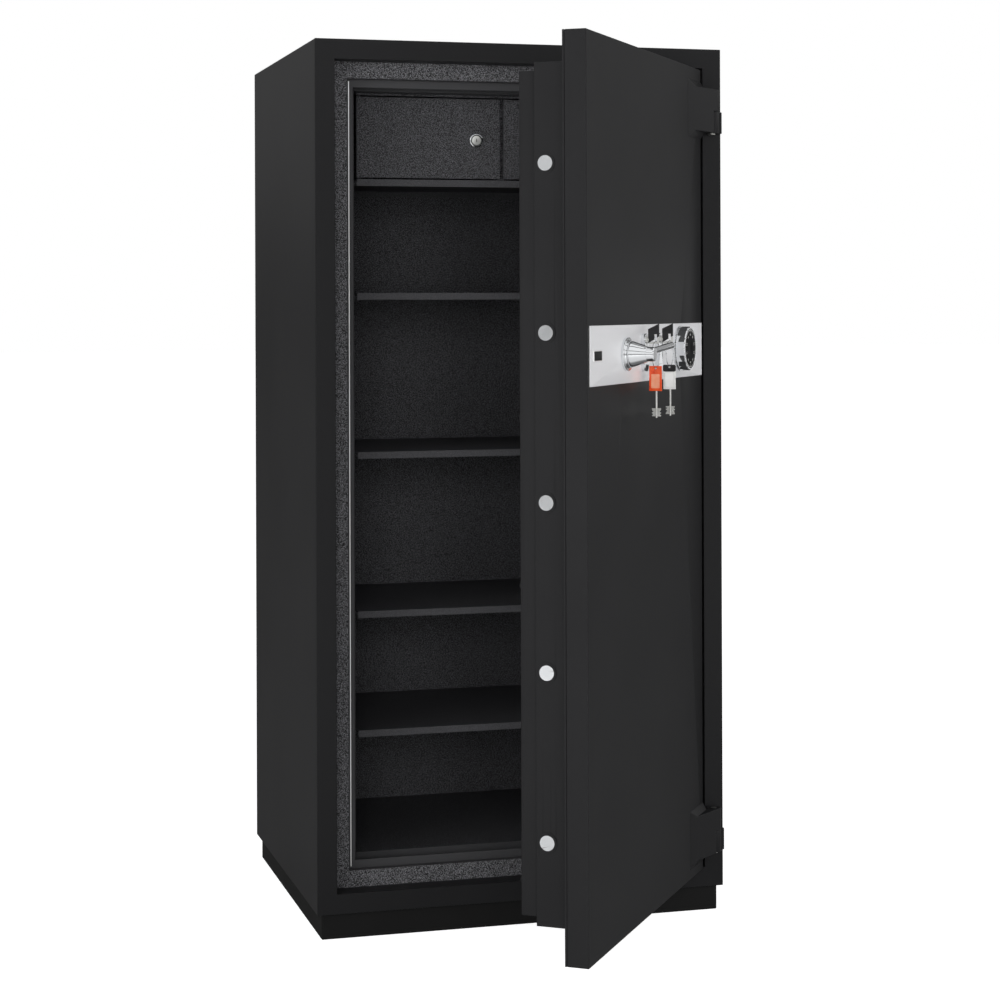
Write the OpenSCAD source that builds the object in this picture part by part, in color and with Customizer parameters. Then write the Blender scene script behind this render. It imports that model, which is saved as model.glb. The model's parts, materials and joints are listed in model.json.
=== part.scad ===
// Tall fire-resistant steel safe, drawn with its door standing open.
// Millimetres. Origin on the floor at the middle of the plinth, front towards -Y, +Z up.
// Door pieces are drawn shut and then swung open about the hinge pins.

/* [Body] */
// Outer width of the body
body_w = 838; // [820:1:900]
// Outer depth of the body
body_d = 708; // [690:1:800]
// Height of the body above the plinth
body_h = 1700; // [1690:1:1760]
// Thickness of the outer steel sheet
casing_t = 5; // [3:0.5:8]
// Height of the plinth
plinth_h = 50; // [30:1:100]
// Distance that the plinth stands back from the body
plinth_inset = 10; // [4:1:30]

/* [Door frame] */
// Width of the flat front flange round the door
flange_w = 39; // [36:1:44]
// Depth from the front to the textured seat
seat_d = 45; // [40:1:55]
// Width of the textured seat
seat_w = 33; // [28:1:38]
// Depth from the front to the bolt lip
lip_d = 63; // [60:1:70]
// Width of the bolt lip
lip_w = 16; // [12:1:17]
// Sheet thickness of the frame
frame_t = 4; // [3:0.5:4]
// Distance from the body's side to the floor of the bolt channel
channel_inset = 53; // [49:1:56]
// Depth from the front to the back of the bolt channel
channel_d = 116; // [114:1:124]

/* [Interior] */
// Thickness of the side walls, filling and sheets together
side_wall = 101; // [98:1:102]
// Thickness of the floor and the ceiling of the interior
end_wall = 90; // [89:1:96]
// Depth from the front to the liner's back wall
inside_d = 598; // [580:1:630]
// Sheet thickness of the liner
liner_t = 3; // [2:0.5:4]

/* [Shelves] */
// Distances from the top of the locker floor down to the shelf tops
shelf_drops = [230, 551, 872, 1112];
// Depth from the front to the shelf fronts
shelf_front = 155; // [153:1:170]
// Room between a shelf end and the liner
shelf_side_gap = 14; // [12:1:20]
// Room between the shelf backs and the liner
shelf_back_gap = 5; // [2:1:20]
// Sheet thickness of a shelf
shelf_t = 2; // [1.5:0.5:3]
// Height of the folded shelf lip
shelf_lip = 14; // [10:1:25]
// Depth of the slotted rails on the side walls
rail_t = 10; // [6:1:11]
// Width of a slotted rail
rail_w = 22; // [16:1:30]
// Depths from the front to the middles of the rails
rail_at = [220, 520];

/* [Locker] */
// Height of the locker, from the top of its floor to the ceiling of the interior
locker_h = 173; // [140:1:220]
// Thickness of a locker door with its folded edges
locker_door_t = 12; // [10:1:14]
// Room round each locker door
locker_gap = 3; // [2:0.5:4]
// Half the width of the strip that shows between the locker doors
locker_strip = 4.5; // [3:0.5:8]
// Distance from a locker door's free edge to its cam lock
cam_lock_in = 50; // [40:1:70]
// Radius of the bright face of a cam lock
cam_face_r = 14; // [11:0.5:16]

/* [Door] */
// Gap between the door slab and the frame on each side
door_side_gap = 10.5; // [7.5:0.5:12.5]
// Thickness of the door slab
slab_t = 44; // [40:1:44]
// Gap under the closed door
gap_under = 4; // [3:0.5:6]
// Gap over the closed door
gap_over = 6; // [4:0.5:8]
// Opening angle at which the door is drawn
door_angle = 54; // [0:1:105]
// Depth from the door's face to the back of the bolt case
case_d = 113; // [110:1:115]
// Gap between the bolt case and the lip on the lock side
case_gap_lock = 11.5; // [10:0.5:14]
// Gap between the bolt case and the lip on the other three sides
case_gap = 6; // [5:0.5:8]
// Step from the bolt case in to the inner cover
cover_step = 13; // [11:0.5:16]
// Depth from the door's face to the back of the inner cover
cover_d = 146; // [140:1:148]

/* [Hinges] */
// Distance from the body's side to the hinge pins
hinge_in = 26; // [25:0.5:28]
// Distance that the hinge pins stand in front of the body
hinge_out = 16; // [16:0.5:18]
// Radius of the hinge knuckles
knuckle_r = 15; // [13:0.5:15.5]
// Radius of the hinge pins
hinge_pin_r = 6; // [4:0.5:8]
// Height of a hinge
hinge_h = 88; // [70:1:110]
// Distance from the body's bottom edge up to the lower hinge's middle
hinge_low_in = 119; // [102:1:150]
// Distance from the body's top edge down to the upper hinge's middle
hinge_high_in = 128; // [104:1:160]

/* [Boltwork] */
// Radius of a locking bolt
bolt_r = 13.5; // [11:0.5:15]
// Number of locking bolts
bolt_count = 5; // [3:2:5]
// Distance from the bolt case's bottom edge up to the lowest bolt
bolt_low_in = 147; // [120:1:160]
// Distance from the bolt case's top edge down to the highest bolt
bolt_high_in = 177; // [150:1:200]
// Depth from the door's face to the bolts' axes
bolt_d = 92; // [88:1:94]
// Distance that a withdrawn bolt stands out of the bolt case
bolt_proud = 2.5; // [1.5:0.5:3]
// Length of a locking bolt
bolt_len = 72; // [60:1:85]

/* [Lock furniture] */
// Distance from the door's free edge to the lock plate
plate_free_in = 11.5; // [4:0.5:30]
// Distance from the door's hinge edge to the lock plate
plate_hinge_in = 5.5; // [4:0.5:30]
// Height of the brushed lock plate
plate_h = 105; // [90:1:130]
// Thickness of the lock plate
plate_t = 2; // [1:0.5:4]
// Height of the lock plate's middle above the floor the safe stands on
plate_z = 1142; // [1100:1:1180]
// Distance from the door's middle to the handle, towards the free edge
handle_at = 151.5; // [140:0.5:165]
// Distance from the door's middle to the dial, towards the hinges
dial_at = 197.5; // [185:0.5:215]
// Distance of each keyhole from the door's middle
key_at = 46; // [40:0.5:60]
// Height of the keyholes above the lock plate's middle
key_rise = 24; // [20:0.5:30]
// Radius of the handle's spindle
spindle_r = 6; // [5:0.5:8]
// Length of the lever from the spindle's axis to its tip
lever_len = 136; // [100:1:160]
// Upward tilt of the lever at rest
lever_tilt = 4; // [0:0.5:10]
// Radius of the dial
dial_r = 41; // [30:0.5:42]
// Radius of the dial's spindle
dial_spindle_r = 4; // [3:0.5:5]

/* [Hidden] */
$fn = 48;

// Running clearance of a shaft in its bore, on the radius
run_c = 0.06;
// Clearance of a free hole round a shaft, on the radius
free_c = 2;
// Overlap of a cutting solid past the face that it opens
cut = 1;

black = [0.13, 0.13, 0.14];
textured_black = [0.17, 0.17, 0.17];
inside_black = [0.1, 0.1, 0.1];
bright = [0.85, 0.85, 0.86];
brushed = [0.75, 0.75, 0.76];
zinc = [0.6, 0.6, 0.58];

front_y = -body_d / 2;
top_z = plinth_h + body_h;
seat_inset = flange_w + seat_w;
lip_inset = seat_inset + lip_w;
liner_front = channel_d + frame_t;
inside_x = body_w / 2 - side_wall;
inside_low = plinth_h + end_wall;
inside_high = top_z - end_wall;
locker_floor_z = inside_high - locker_h;
shelf_tops = [for (drop = shelf_drops) locker_floor_z - drop];
hinge_zs = [plinth_h + hinge_low_in, top_z - hinge_high_in];

// A block between two insets of the front view and two depths
module inset_box(side_i, end_i, from_d, to_d) {
    translate([-body_w / 2 + side_i, front_y + from_d, plinth_h + end_i])
        cube([body_w - 2 * side_i, to_d - from_d, body_h - 2 * end_i]);
}

// A rectangular hoop round the opening
module hoop(outer_i, inner_i, from_d, to_d) {
    difference() {
        inset_box(outer_i, outer_i, from_d, to_d);
        inset_box(inner_i, inner_i, from_d - cut, to_d + cut);
    }
}

module plinth() {
    color(black)
        translate([-body_w / 2 + plinth_inset, front_y + plinth_inset, 0])
            cube([body_w - 2 * plinth_inset, body_d - 2 * plinth_inset, plinth_h]);
}

module outer_casing() {
    color(black)
        difference() {
            inset_box(0, 0, frame_t, body_d);
            inset_box(casing_t, casing_t, 0, body_d - casing_t);
        }
}

module fire_infill() {
    color("dimgray")
        difference() {
            inset_box(casing_t, casing_t, frame_t, body_d - casing_t);
            inset_box(flange_w - frame_t, flange_w - frame_t, 0, seat_d + frame_t);
            inset_box(channel_inset - frame_t, channel_inset - frame_t, 0, liner_front);
            inset_box(side_wall - liner_t, end_wall - liner_t, 0, inside_d + liner_t);
        }
}

module inner_liner() {
    color(inside_black)
        difference() {
            inset_box(side_wall - liner_t, end_wall - liner_t, liner_front, inside_d + liner_t);
            inset_box(side_wall, end_wall, 0, inside_d);
        }
}

// Folded steel frame: flange, reveal and the textured seat of the door
seat_back = seat_d + frame_t;

module door_frame() {
    color(textured_black)
        union() {
            hoop(0, flange_w, 0, frame_t);
            hoop(flange_w - frame_t, flange_w, 0, seat_back);
            hoop(flange_w - frame_t, seat_inset, seat_d, seat_back);
        }
}

// Channel behind the seat: the bolts pass behind its lip
module bolt_channel() {
    color(textured_black)
        union() {
            hoop(seat_inset - frame_t, seat_inset, seat_back, lip_d + frame_t);
            hoop(seat_inset - frame_t, lip_inset, lip_d, lip_d + frame_t);
            hoop(channel_inset - frame_t, channel_inset, seat_back, liner_front);
            difference() {
                inset_box(channel_inset - frame_t, channel_inset - frame_t, channel_d, liner_front);
                inset_box(side_wall, end_wall, channel_d - cut, liner_front + cut);
            }
        }
}

// Shelves, rails and clips
shelf_x = inside_x - shelf_side_gap;
shelf_back = inside_d - shelf_back_gap;
clip_w = 16;
clip_h = 8;

module shelf(top) {
    color(inside_black)
        translate([-shelf_x, front_y + shelf_front, top - shelf_t])
            union() {
                cube([2 * shelf_x, shelf_back - shelf_front, shelf_t]);
                translate([0, 0, shelf_t - shelf_lip])
                    cube([2 * shelf_x, shelf_t, shelf_lip]);
                translate([0, shelf_back - shelf_front - shelf_t, shelf_t - shelf_lip])
                    cube([2 * shelf_x, shelf_t, shelf_lip]);
            }
}
module shelf_1() { shelf(shelf_tops[0]); }
module shelf_2() { shelf(shelf_tops[1]); }
module shelf_3() { shelf(shelf_tops[2]); }
module shelf_4() { shelf(shelf_tops[3]); }

slot_pitch = 60;
slot_w = 6;
slot_h = 16;

module shelf_rail() {
    difference() {
        translate([0, -rail_w / 2, inside_low])
            cube([rail_t, rail_w, inside_high - inside_low]);
        for (z = [inside_low + slot_pitch : slot_pitch : inside_high - slot_pitch])
            translate([-cut, -slot_w / 2, z])
                cube([rail_t / 2 + cut, slot_w, slot_h]);
    }
}

module shelf_rails() {
    color(inside_black)
        for (side = [0, 1], d = rail_at)
            translate([0, front_y + d, 0])
                mirror([side, 0, 0])
                    translate([inside_x - rail_t, 0, 0])
                        shelf_rail();
}

module shelf_clips() {
    color(inside_black)
        for (side = [0, 1], d = rail_at, top = concat(shelf_tops, [locker_floor_z]))
            mirror([side, 0, 0])
                translate([inside_x - rail_t - clip_w, front_y + d - clip_w / 2, top - shelf_t - clip_h])
                    cube([clip_w, clip_w, clip_h]);
}

// Locker with two doors behind the top of the opening
pivot_r = 3;
pivot_len = 2.6;
pivot_in = 6;
pad_wall = 2;
head_t = 4;
strip_w = 32;
strip_t = 3;
strip_gap = 3;
strip_d = shelf_front + locker_door_t + strip_gap;
locker_skin = 2;
cam_barrel_r = 9.5;
cam_plug_r = 5.95;
cam_gap = 1.5;
cam_t = 2.5;
cam_w = 10;
cam_drop = 3;
cam_z = (locker_floor_z + inside_high - head_t) / 2 - cam_drop;
pivot_x = shelf_x - pivot_in;
pivot_d = shelf_front + locker_door_t / 2;
locker_door_w = shelf_x - locker_strip;
cam_x = locker_strip + cam_lock_in;
locker_low = locker_floor_z + locker_gap;
locker_high = inside_high - head_t - locker_gap;

module locker_floor() {
    difference() {
        union() {
            shelf(locker_floor_z);
            // Thick pads that take the lower pivots
            color(inside_black)
                for (side = [-1, 1])
                    translate([side * pivot_x, front_y + pivot_d, locker_floor_z - shelf_lip])
                        cylinder(r = pivot_r + pad_wall, h = shelf_lip);
        }
        for (side = [-1, 1])
            translate([side * pivot_x, front_y + pivot_d, locker_floor_z - shelf_lip - cut])
                cylinder(r = pivot_r + run_c, h = shelf_lip + 2 * cut);
    }
}

module locker_head_rail() {
    color(inside_black)
        difference() {
            translate([-shelf_x, front_y + shelf_front, inside_high - head_t])
                cube([2 * shelf_x, locker_door_t + strip_gap + strip_t, head_t]);
            for (side = [-1, 1])
                translate([side * pivot_x, front_y + pivot_d, inside_high - head_t - cut])
                    cylinder(r = pivot_r + run_c, h = head_t + 2 * cut);
        }
}

module locker_divider() {
    color(inside_black)
        union() {
            translate([-strip_w / 2, front_y + strip_d, locker_floor_z])
                cube([strip_w, strip_t, inside_high - head_t - locker_floor_z]);
            translate([-locker_skin / 2, front_y + strip_d, locker_floor_z])
                cube([locker_skin, shelf_back - strip_d, inside_high - head_t - locker_floor_z]);
        }
}

// The right door as seen from the front; the left one is its mirror image
module locker_door() {
    color(textured_black)
        difference() {
            union() {
                difference() {
                    translate([locker_strip, front_y + shelf_front, locker_low])
                        cube([locker_door_w, locker_door_t, locker_high - locker_low]);
                    translate([
                        locker_strip + locker_skin,
                        front_y + shelf_front + locker_skin,
                        locker_low + locker_skin
                    ])
                        cube([
                            locker_door_w - 2 * locker_skin,
                            locker_door_t,
                            locker_high - locker_low - 2 * locker_skin
                        ]);
                }
                translate([pivot_x, front_y + pivot_d, locker_low - locker_gap - pivot_len])
                    cylinder(r = pivot_r, h = locker_high - locker_low + 2 * locker_gap + 2 * pivot_len);
            }
            translate([cam_x, front_y + shelf_front - cut, cam_z])
                rotate([-90, 0, 0])
                    cylinder(r = cam_barrel_r + run_c, h = locker_skin + 2 * cut);
        }
}
module locker_door_left() { mirror([1, 0, 0]) locker_door(); }
module locker_door_right() { locker_door(); }

cam_face_t = 3;
cam_nut_r = 13;
cam_nut_t = 4;
cam_body_end = strip_d + strip_t;

module locker_lock() {
    color(bright)
        translate([cam_x, front_y, cam_z])
            rotate([-90, 0, 0])
                difference() {
                    union() {
                        translate([0, 0, shelf_front - cam_face_t])
                            cylinder(r = cam_face_r, h = cam_face_t);
                        translate([0, 0, shelf_front - cam_face_t])
                            cylinder(r = cam_barrel_r, h = cam_body_end - shelf_front + cam_face_t);
                        translate([0, 0, shelf_front + locker_skin])
                            cylinder(r = cam_nut_r, h = cam_nut_t, $fn = 6);
                    }
                    cylinder(r = cam_plug_r + run_c, h = cam_body_end + cut);
                }
}
module locker_lock_left() { mirror([1, 0, 0]) locker_lock(); }
module locker_lock_right() { locker_lock(); }

cam_end_x = 9;
cam_plug_end = cam_body_end + cam_gap + cam_t;
cam_len = cam_x - cam_end_x;
keyway_w = 1.2;
keyway_h = 7;
keyway_d = 7;

module locker_cam() {
    color(bright)
        translate([cam_x, front_y, cam_z])
            difference() {
                union() {
                    rotate([-90, 0, 0])
                        translate([0, 0, shelf_front - cam_face_t])
                            cylinder(r = cam_plug_r, h = cam_plug_end - shelf_front + cam_face_t);
                    translate([-cam_w / 2, cam_body_end + cam_gap, -cam_len])
                        cube([cam_w, cam_t, cam_len + cam_w / 2]);
                }
                // Keyway
                translate([-keyway_w / 2, shelf_front - cam_face_t - cut, -keyway_h / 2])
                    cube([keyway_w, keyway_d + cut, keyway_h]);
            }
}
module locker_cam_left() { mirror([1, 0, 0]) locker_cam(); }
module locker_cam_right() { locker_cam(); }

// Door: everything from here on is drawn shut and swung by on_door()
door_r = body_w / 2 - flange_w - door_side_gap;
door_low = plinth_h + flange_w + gap_under;
door_high = top_z - flange_w - gap_over;
hinge_x = body_w / 2 - hinge_in;
hinge_y = front_y - hinge_out;
case_l = -body_w / 2 + lip_inset + case_gap_lock;
case_r = body_w / 2 - lip_inset - case_gap;
case_low = plinth_h + lip_inset + case_gap;
case_high = top_z - lip_inset - case_gap;
case_t = 4;
skin_t = 4;
face_t = 6;
handle_x = -handle_at;
dial_x = dial_at;
key_xs = [-key_at, key_at];
key_z = plate_z + key_rise;
key_r = 3;
bit_r = 8.5;
// Room round the bits in the door's sheets
bit_room = 1;
// Height of the dial above the lock plate's middle
dial_rise = 4;

module on_door() {
    translate([hinge_x, hinge_y, 0])
        rotate([0, 0, door_angle])
            translate([-hinge_x, -hinge_y, 0])
                children();
}

// A cylinder along the depth of the closed door, between two depths behind its face
module rod(x, z, r, from_d, to_d) {
    translate([x, front_y + from_d, z])
        rotate([-90, 0, 0])
            cylinder(r = r, h = to_d - from_d);
}

module block(from_x, to_x, from_d, to_d, from_z, to_z) {
    translate([from_x, front_y + from_d, from_z])
        cube([to_x - from_x, to_d - from_d, to_z - from_z]);
}

module spindle_holes(from_d, to_d) {
    rod(handle_x, plate_z, spindle_r + free_c, from_d, to_d);
    rod(dial_x, plate_z + dial_rise, dial_spindle_r + free_c, from_d, to_d);
    for (x = key_xs)
        rod(x, key_z, bit_r + bit_room, from_d, to_d);
}

module door_skin() {
    color(black)
        on_door()
            difference() {
                block(-door_r, door_r, 0, slab_t - skin_t, door_low, door_high);
                block(
                    -door_r + skin_t, door_r - skin_t, face_t, slab_t,
                    door_low + skin_t, door_high - skin_t
                );
                spindle_holes(-cut, face_t + cut);
            }
}

module door_infill() {
    color("dimgray")
        on_door()
            difference() {
                block(
                    -door_r + skin_t, door_r - skin_t, face_t, slab_t - skin_t,
                    door_low + skin_t, door_high - skin_t
                );
                spindle_holes(0, slab_t);
            }
}

bolt_pitch = (case_high - bolt_high_in - case_low - bolt_low_in) / (bolt_count - 1);
bolt_mid_z = bolt_z((bolt_count - 1) / 2);
function bolt_z(i) = case_low + bolt_low_in + i * bolt_pitch;

post_r = 7;
post_in = 19;
post_end_in = 75;
screw_r = 3;
cover_t = 3;
post_xs = [case_l + case_t + post_in, case_r - case_t - post_in];
post_zs = [
    case_low + post_end_in,
    bolt_mid_z - bolt_pitch / 2,
    bolt_mid_z + bolt_pitch / 2,
    case_high - post_end_in
];

module door_back_plate() {
    color(black)
        on_door()
            difference() {
                block(-door_r, door_r, slab_t - skin_t, slab_t, door_low, door_high);
                spindle_holes(slab_t - skin_t - cut, slab_t + cut);
            }
}

// Posts on the back plate that carry the inner cover
module cover_posts() {
    color(zinc)
        on_door()
            for (x = post_xs, z = post_zs)
                difference() {
                    rod(x, z, post_r, slab_t, cover_d - cover_t);
                    rod(x, z, screw_r + run_c, cover_d - screw_len, cover_d);
                }
}

guide_r = 16;
guide_flange_r = 17.5;
guide_flange_t = 1.5;
guide_len = 14;
rim_w = 18;

module side_rod(from_x, to_x, r) {
    for (i = [0 : bolt_count - 1])
        translate([from_x, front_y + bolt_d, bolt_z(i)])
            rotate([0, 90, 0])
                cylinder(r = r, h = to_x - from_x);
}

module bolt_case() {
    color(black)
        on_door()
            difference() {
                union() {
                    difference() {
                        block(case_l, case_r, slab_t, case_d, case_low, case_high);
                        block(
                            case_l + case_t, case_r - case_t, slab_t - cut, case_d + cut,
                            case_low + case_t, case_high - case_t
                        );
                    }
                    difference() {
                        block(case_l, case_r, case_d - case_t, case_d, case_low, case_high);
                        block(
                            case_l + rim_w, case_r - rim_w, case_d - case_t - cut, case_d + cut,
                            case_low + rim_w, case_high - rim_w
                        );
                    }
                }
                side_rod(case_l - cut, case_l + case_t + cut, guide_r);
                // Room for the cover posts through the rim
                for (x = post_xs, z = post_zs)
                    rod(x, z, post_r + free_c, case_d - case_t - cut, case_d + cut);
            }
}

module bolt_guides() {
    color(black)
        on_door()
            difference() {
                union() {
                    side_rod(case_l, case_l + guide_len, guide_r);
                    side_rod(case_l - guide_flange_t, case_l, guide_flange_r);
                }
                side_rod(case_l - guide_flange_t - cut, case_l + guide_len + cut, bolt_r + run_c);
            }
}

module inner_cover() {
    color(black)
        on_door()
            difference() {
                block(
                    case_l + cover_step, case_r - cover_step, case_d, cover_d,
                    case_low + cover_step, case_high - cover_step
                );
                block(
                    case_l + cover_step + cover_t, case_r - cover_step - cover_t,
                    case_d - cut, cover_d - cover_t,
                    case_low + cover_step + cover_t, case_high - cover_step - cover_t
                );
                for (x = post_xs, z = post_zs)
                    rod(x, z, screw_r + run_c, cover_d - cover_t - cut, cover_d + cut);
            }
}

screw_len = 16;
screw_head_r = 6;
screw_head_t = 2.5;

module cover_screws() {
    color(black)
        on_door()
            for (x = post_xs, z = post_zs) {
                rod(x, z, screw_r, cover_d - screw_len + cut, cover_d + screw_head_t);
                rod(x, z, screw_head_r, cover_d, cover_d + screw_head_t);
            }
}

// Hinges: a fixed lower knuckle on the frame and a strap on the door over it
strap_len = 96;
strap_bevel = 28;
strap_t = 7.5;
strap_lift = 14;
knuckle_gap = 0.3;
knuckle_room = 1;
strap_cut_back = 5;
foot_t = 10;
foot_edge = 1;

// Point where the strap's outer face meets the knuckle's circle
strap_q = [door_r - strap_len + strap_bevel, front_y - strap_t];
strap_v = [hinge_x, hinge_y] - strap_q;
strap_reach = norm(strap_v);
strap_turn = atan2(strap_v[1], strap_v[0]) - asin(knuckle_r / strap_reach);
strap_run = sqrt(strap_reach * strap_reach - knuckle_r * knuckle_r);
strap_touch = strap_q + strap_run * [cos(strap_turn), sin(strap_turn)];

module strap_plan() {
    union() {
        polygon([
            [door_r, front_y],
            [door_r - strap_len, front_y],
            strap_q,
            strap_touch,
            [hinge_x, hinge_y]
        ]);
        translate([hinge_x, hinge_y])
            circle(r = knuckle_r);
    }
}

// Sloping foot of the strap, taller where it lies on the door
module strap_foot() {
    intersection() {
        translate([0, 0, -hinge_h / 2 - strap_lift])
            linear_extrude(height = hinge_h + 2 * strap_lift)
                polygon([
                    [door_r, front_y],
                    [door_r - strap_len, front_y],
                    strap_q,
                    [door_r, front_y - strap_t]
                ]);
        translate([door_r, front_y, 0])
            rotate([90, 0, -90])
                linear_extrude(height = strap_len)
                    polygon([
                        [0, -hinge_h / 2 - strap_lift],
                        [0, hinge_h / 2 + strap_lift],
                        [strap_t, hinge_h / 2],
                        [strap_t, -hinge_h / 2]
                    ]);
    }
}

module hinge_leaf() {
    difference() {
        union() {
            translate([0, 0, -hinge_h / 2])
                linear_extrude(height = hinge_h)
                    strap_plan();
            strap_foot();
        }
        // Lower half: room for the fixed knuckle
        translate([door_r + strap_cut_back, hinge_y - 2 * knuckle_r, -hinge_h])
            cube([4 * knuckle_r, 4 * knuckle_r, hinge_h]);
        translate([hinge_x, hinge_y, -hinge_h])
            cylinder(r = knuckle_r + knuckle_room, h = hinge_h);
        translate([hinge_x, hinge_y, -cut])
            cylinder(r = hinge_pin_r + run_c, h = hinge_h);
    }
}

module hinge_leaves() {
    color(black)
        on_door()
            for (z = hinge_zs)
                translate([0, 0, z])
                    hinge_leaf();
}

module hinge_knuckles() {
    color(black)
        for (z = hinge_zs)
            difference() {
                union() {
                    translate([hinge_x, hinge_y, z - hinge_h / 2])
                        cylinder(r = knuckle_r, h = hinge_h / 2 - knuckle_gap);
                    translate([body_w / 2 - flange_w + foot_edge, front_y - foot_t, z - hinge_h / 2])
                        cube([flange_w - 2 * foot_edge, foot_t, hinge_h / 2 - knuckle_gap]);
                    translate([hinge_x - knuckle_r / 2, hinge_y, z - hinge_h / 2])
                        cube([knuckle_r, hinge_out, hinge_h / 2 - knuckle_gap]);
                }
                translate([hinge_x, hinge_y, z - hinge_h / 2 - cut])
                    cylinder(r = hinge_pin_r + run_c, h = hinge_h);
            }
}

pin_head_r = 8;
pin_head_t = 3;

module hinge_pins() {
    color(zinc)
        for (z = hinge_zs)
            translate([hinge_x, hinge_y, z - hinge_h / 2]) {
                cylinder(r = hinge_pin_r, h = hinge_h + knuckle_gap);
                translate([0, 0, -pin_head_t])
                    cylinder(r = pin_head_r, h = pin_head_t);
            }
}

// Boltwork
carriage_w = 12;
carriage_from = 50;
carriage_to = 110;
carriage_over = 40;
bar_d = [50, 62];
rack_module = 3;
pinion_teeth = 14;
pinion_r = rack_module * pinion_teeth / 2;
rack_tip_share = 0.75;
rack_foot = 8;
bar_h = 18;
bar_tail = 8;
bar_top = plate_z - pinion_r - rack_foot;
bar_low = bar_top - bar_h;
notch_w = 15;
notch_h = 7;
backlash = 0.5;
throw = pinion_r * PI / 2;
lock_bolt_off = 17;
bar_end = dial_x + lock_bolt_off + throw + notch_w / 2 + bar_tail;
bolt_back = case_l - bolt_proud + bolt_len;

module locking_bolts() {
    color(bright)
        on_door()
            side_rod(case_l - bolt_proud, bolt_back, bolt_r);
}

// One rack tooth, drawn from the bar's top up to the tooth's tip
tooth_pitch = PI * rack_module;
flank = 20;
function rack_half(h) = tooth_pitch / 4 - backlash / 4 - h * tan(flank);
rack_tip = rack_tip_share * rack_module;

module rack_tooth() {
    polygon([
        [-rack_half(-rack_foot), 0],
        [rack_half(-rack_foot), 0],
        [rack_half(rack_tip), rack_foot + rack_tip],
        [-rack_half(rack_tip), rack_foot + rack_tip]
    ]);
}

// Teeth that pass under the pinion over a quarter turn, with one spare at each end
rack_before = 2;
rack_after = 4;

module bolt_carriage() {
    color(zinc)
        on_door()
            difference() {
                union() {
                    block(
                        bolt_back, bolt_back + carriage_w, carriage_from, carriage_to,
                        bolt_z(0) - carriage_over, bolt_z(bolt_count - 1) + carriage_over
                    );
                    block(bolt_back, bar_end, bar_d[0], bar_d[1], bar_low, bar_top);
                    for (i = [-rack_before : rack_after])
                        translate([handle_x + (i + 0.5) * tooth_pitch, front_y + bar_d[1], bar_top])
                            rotate([90, 0, 0])
                                linear_extrude(height = bar_d[1] - bar_d[0])
                                    rack_tooth();
                }
                // Notches that the lock bolts drop into with the bolts thrown or withdrawn
                for (x = concat(key_xs, [dial_x + lock_bolt_off]), shift = [0, throw])
                    block(
                        x + shift - notch_w / 2, x + shift + notch_w / 2, bar_d[0] - cut, bar_d[1] + cut,
                        bar_top - notch_h, bar_top + cut
                    );
            }
}

guide_bar_t = 5;
guide_gap = 0.3;
guide_w = 20;
guide_from_handle = 62;
guide_from_dial = 57.5;
guide_xs = [handle_x + guide_from_handle, dial_x - guide_from_dial];

// Straps on the back plate that hold the bar
module carriage_guides() {
    color(zinc)
        on_door()
            for (x = guide_xs)
                difference() {
                    block(
                        x - guide_w / 2, x + guide_w / 2, slab_t, bar_d[1] + guide_gap + guide_bar_t,
                        bar_low - guide_gap - guide_bar_t, bar_top + guide_gap + guide_bar_t
                    );
                    block(
                        x - guide_w, x + guide_w, bar_d[0] - guide_gap, bar_d[1] + guide_gap,
                        bar_low - guide_gap, bar_top + guide_gap
                    );
                }
}

// Involute pinion on the handle's spindle
pinion_base = pinion_r * cos(flank);
pinion_tip_share = 0.9;
pinion_tip = pinion_r + rack_module * pinion_tip_share;
pinion_root = pinion_r - rack_module;
tooth_half = 90 / pinion_teeth + tan(flank) * 180 / PI - flank - backlash / 4 / pinion_r * 180 / PI;
flank_steps = 6;
root_step = 2;
function involute_angle(r) = tan(acos(pinion_base / r)) * 180 / PI - acos(pinion_base / r);
function polar(r, a) = [r * cos(a), r * sin(a)];
function flank_r(i) = pinion_base + (pinion_tip - pinion_base) * i / flank_steps;
function tooth_points(a) = concat(
    [polar(pinion_root, a - tooth_half - root_step)],
    [polar(pinion_root, a - tooth_half)],
    [for (i = [0 : flank_steps]) polar(flank_r(i), a - tooth_half + involute_angle(flank_r(i)))],
    [for (i = [flank_steps : -1 : 0]) polar(flank_r(i), a + tooth_half - involute_angle(flank_r(i)))],
    [polar(pinion_root, a + tooth_half)]
);

module pinion_plan() {
    polygon([
        for (k = [0 : pinion_teeth - 1])
            for (p = tooth_points(-90 + k * 360 / pinion_teeth)) p
    ]);
}

module drive_pinion() {
    color(zinc)
        on_door()
            translate([handle_x, front_y + bar_d[0], plate_z])
                rotate([-90, 0, 0])
                    difference() {
                        mirror([0, 1, 0])
                            linear_extrude(height = bar_d[1] - bar_d[0])
                                pinion_plan();
                        translate([0, 0, -cut])
                            cylinder(r = spindle_r + run_c, h = bar_d[1]);
                    }
}

// Lock furniture on the door's face
plate_l = -door_r + plate_free_in;
plate_r = door_r - plate_hinge_in;
rose_r = 30.5;
rose_t = 6;
rose_step_r = 26;
rose_step_t = 3;
hub_base_r = 24;
hub_tip_r = 14;
hub_end = 43;
hub_head_r = 13;
hub_gap = 0.3;
hub_foot = 3;
hub_chamfer = 2;
hub_wall = 1.2;
lever_r = 6;
// Height of the lever above the spindle's axis, where it leaves the hub
lever_rise = 5;
spindle_in = 25;
spindle_over = 6;
spindle_end = bar_d[1] + spindle_over;

module lock_plate() {
    color(brushed)
        on_door()
            difference() {
                block(
                    plate_l, plate_r, -plate_t, 0,
                    plate_z - plate_h / 2, plate_z + plate_h / 2
                );
                spindle_holes(-plate_t - cut, cut);
            }
}

badge_w = 45;
badge_h = 17;
badge_t = 1.5;
badge_in = 39;
badge_x = plate_l + badge_in;

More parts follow.
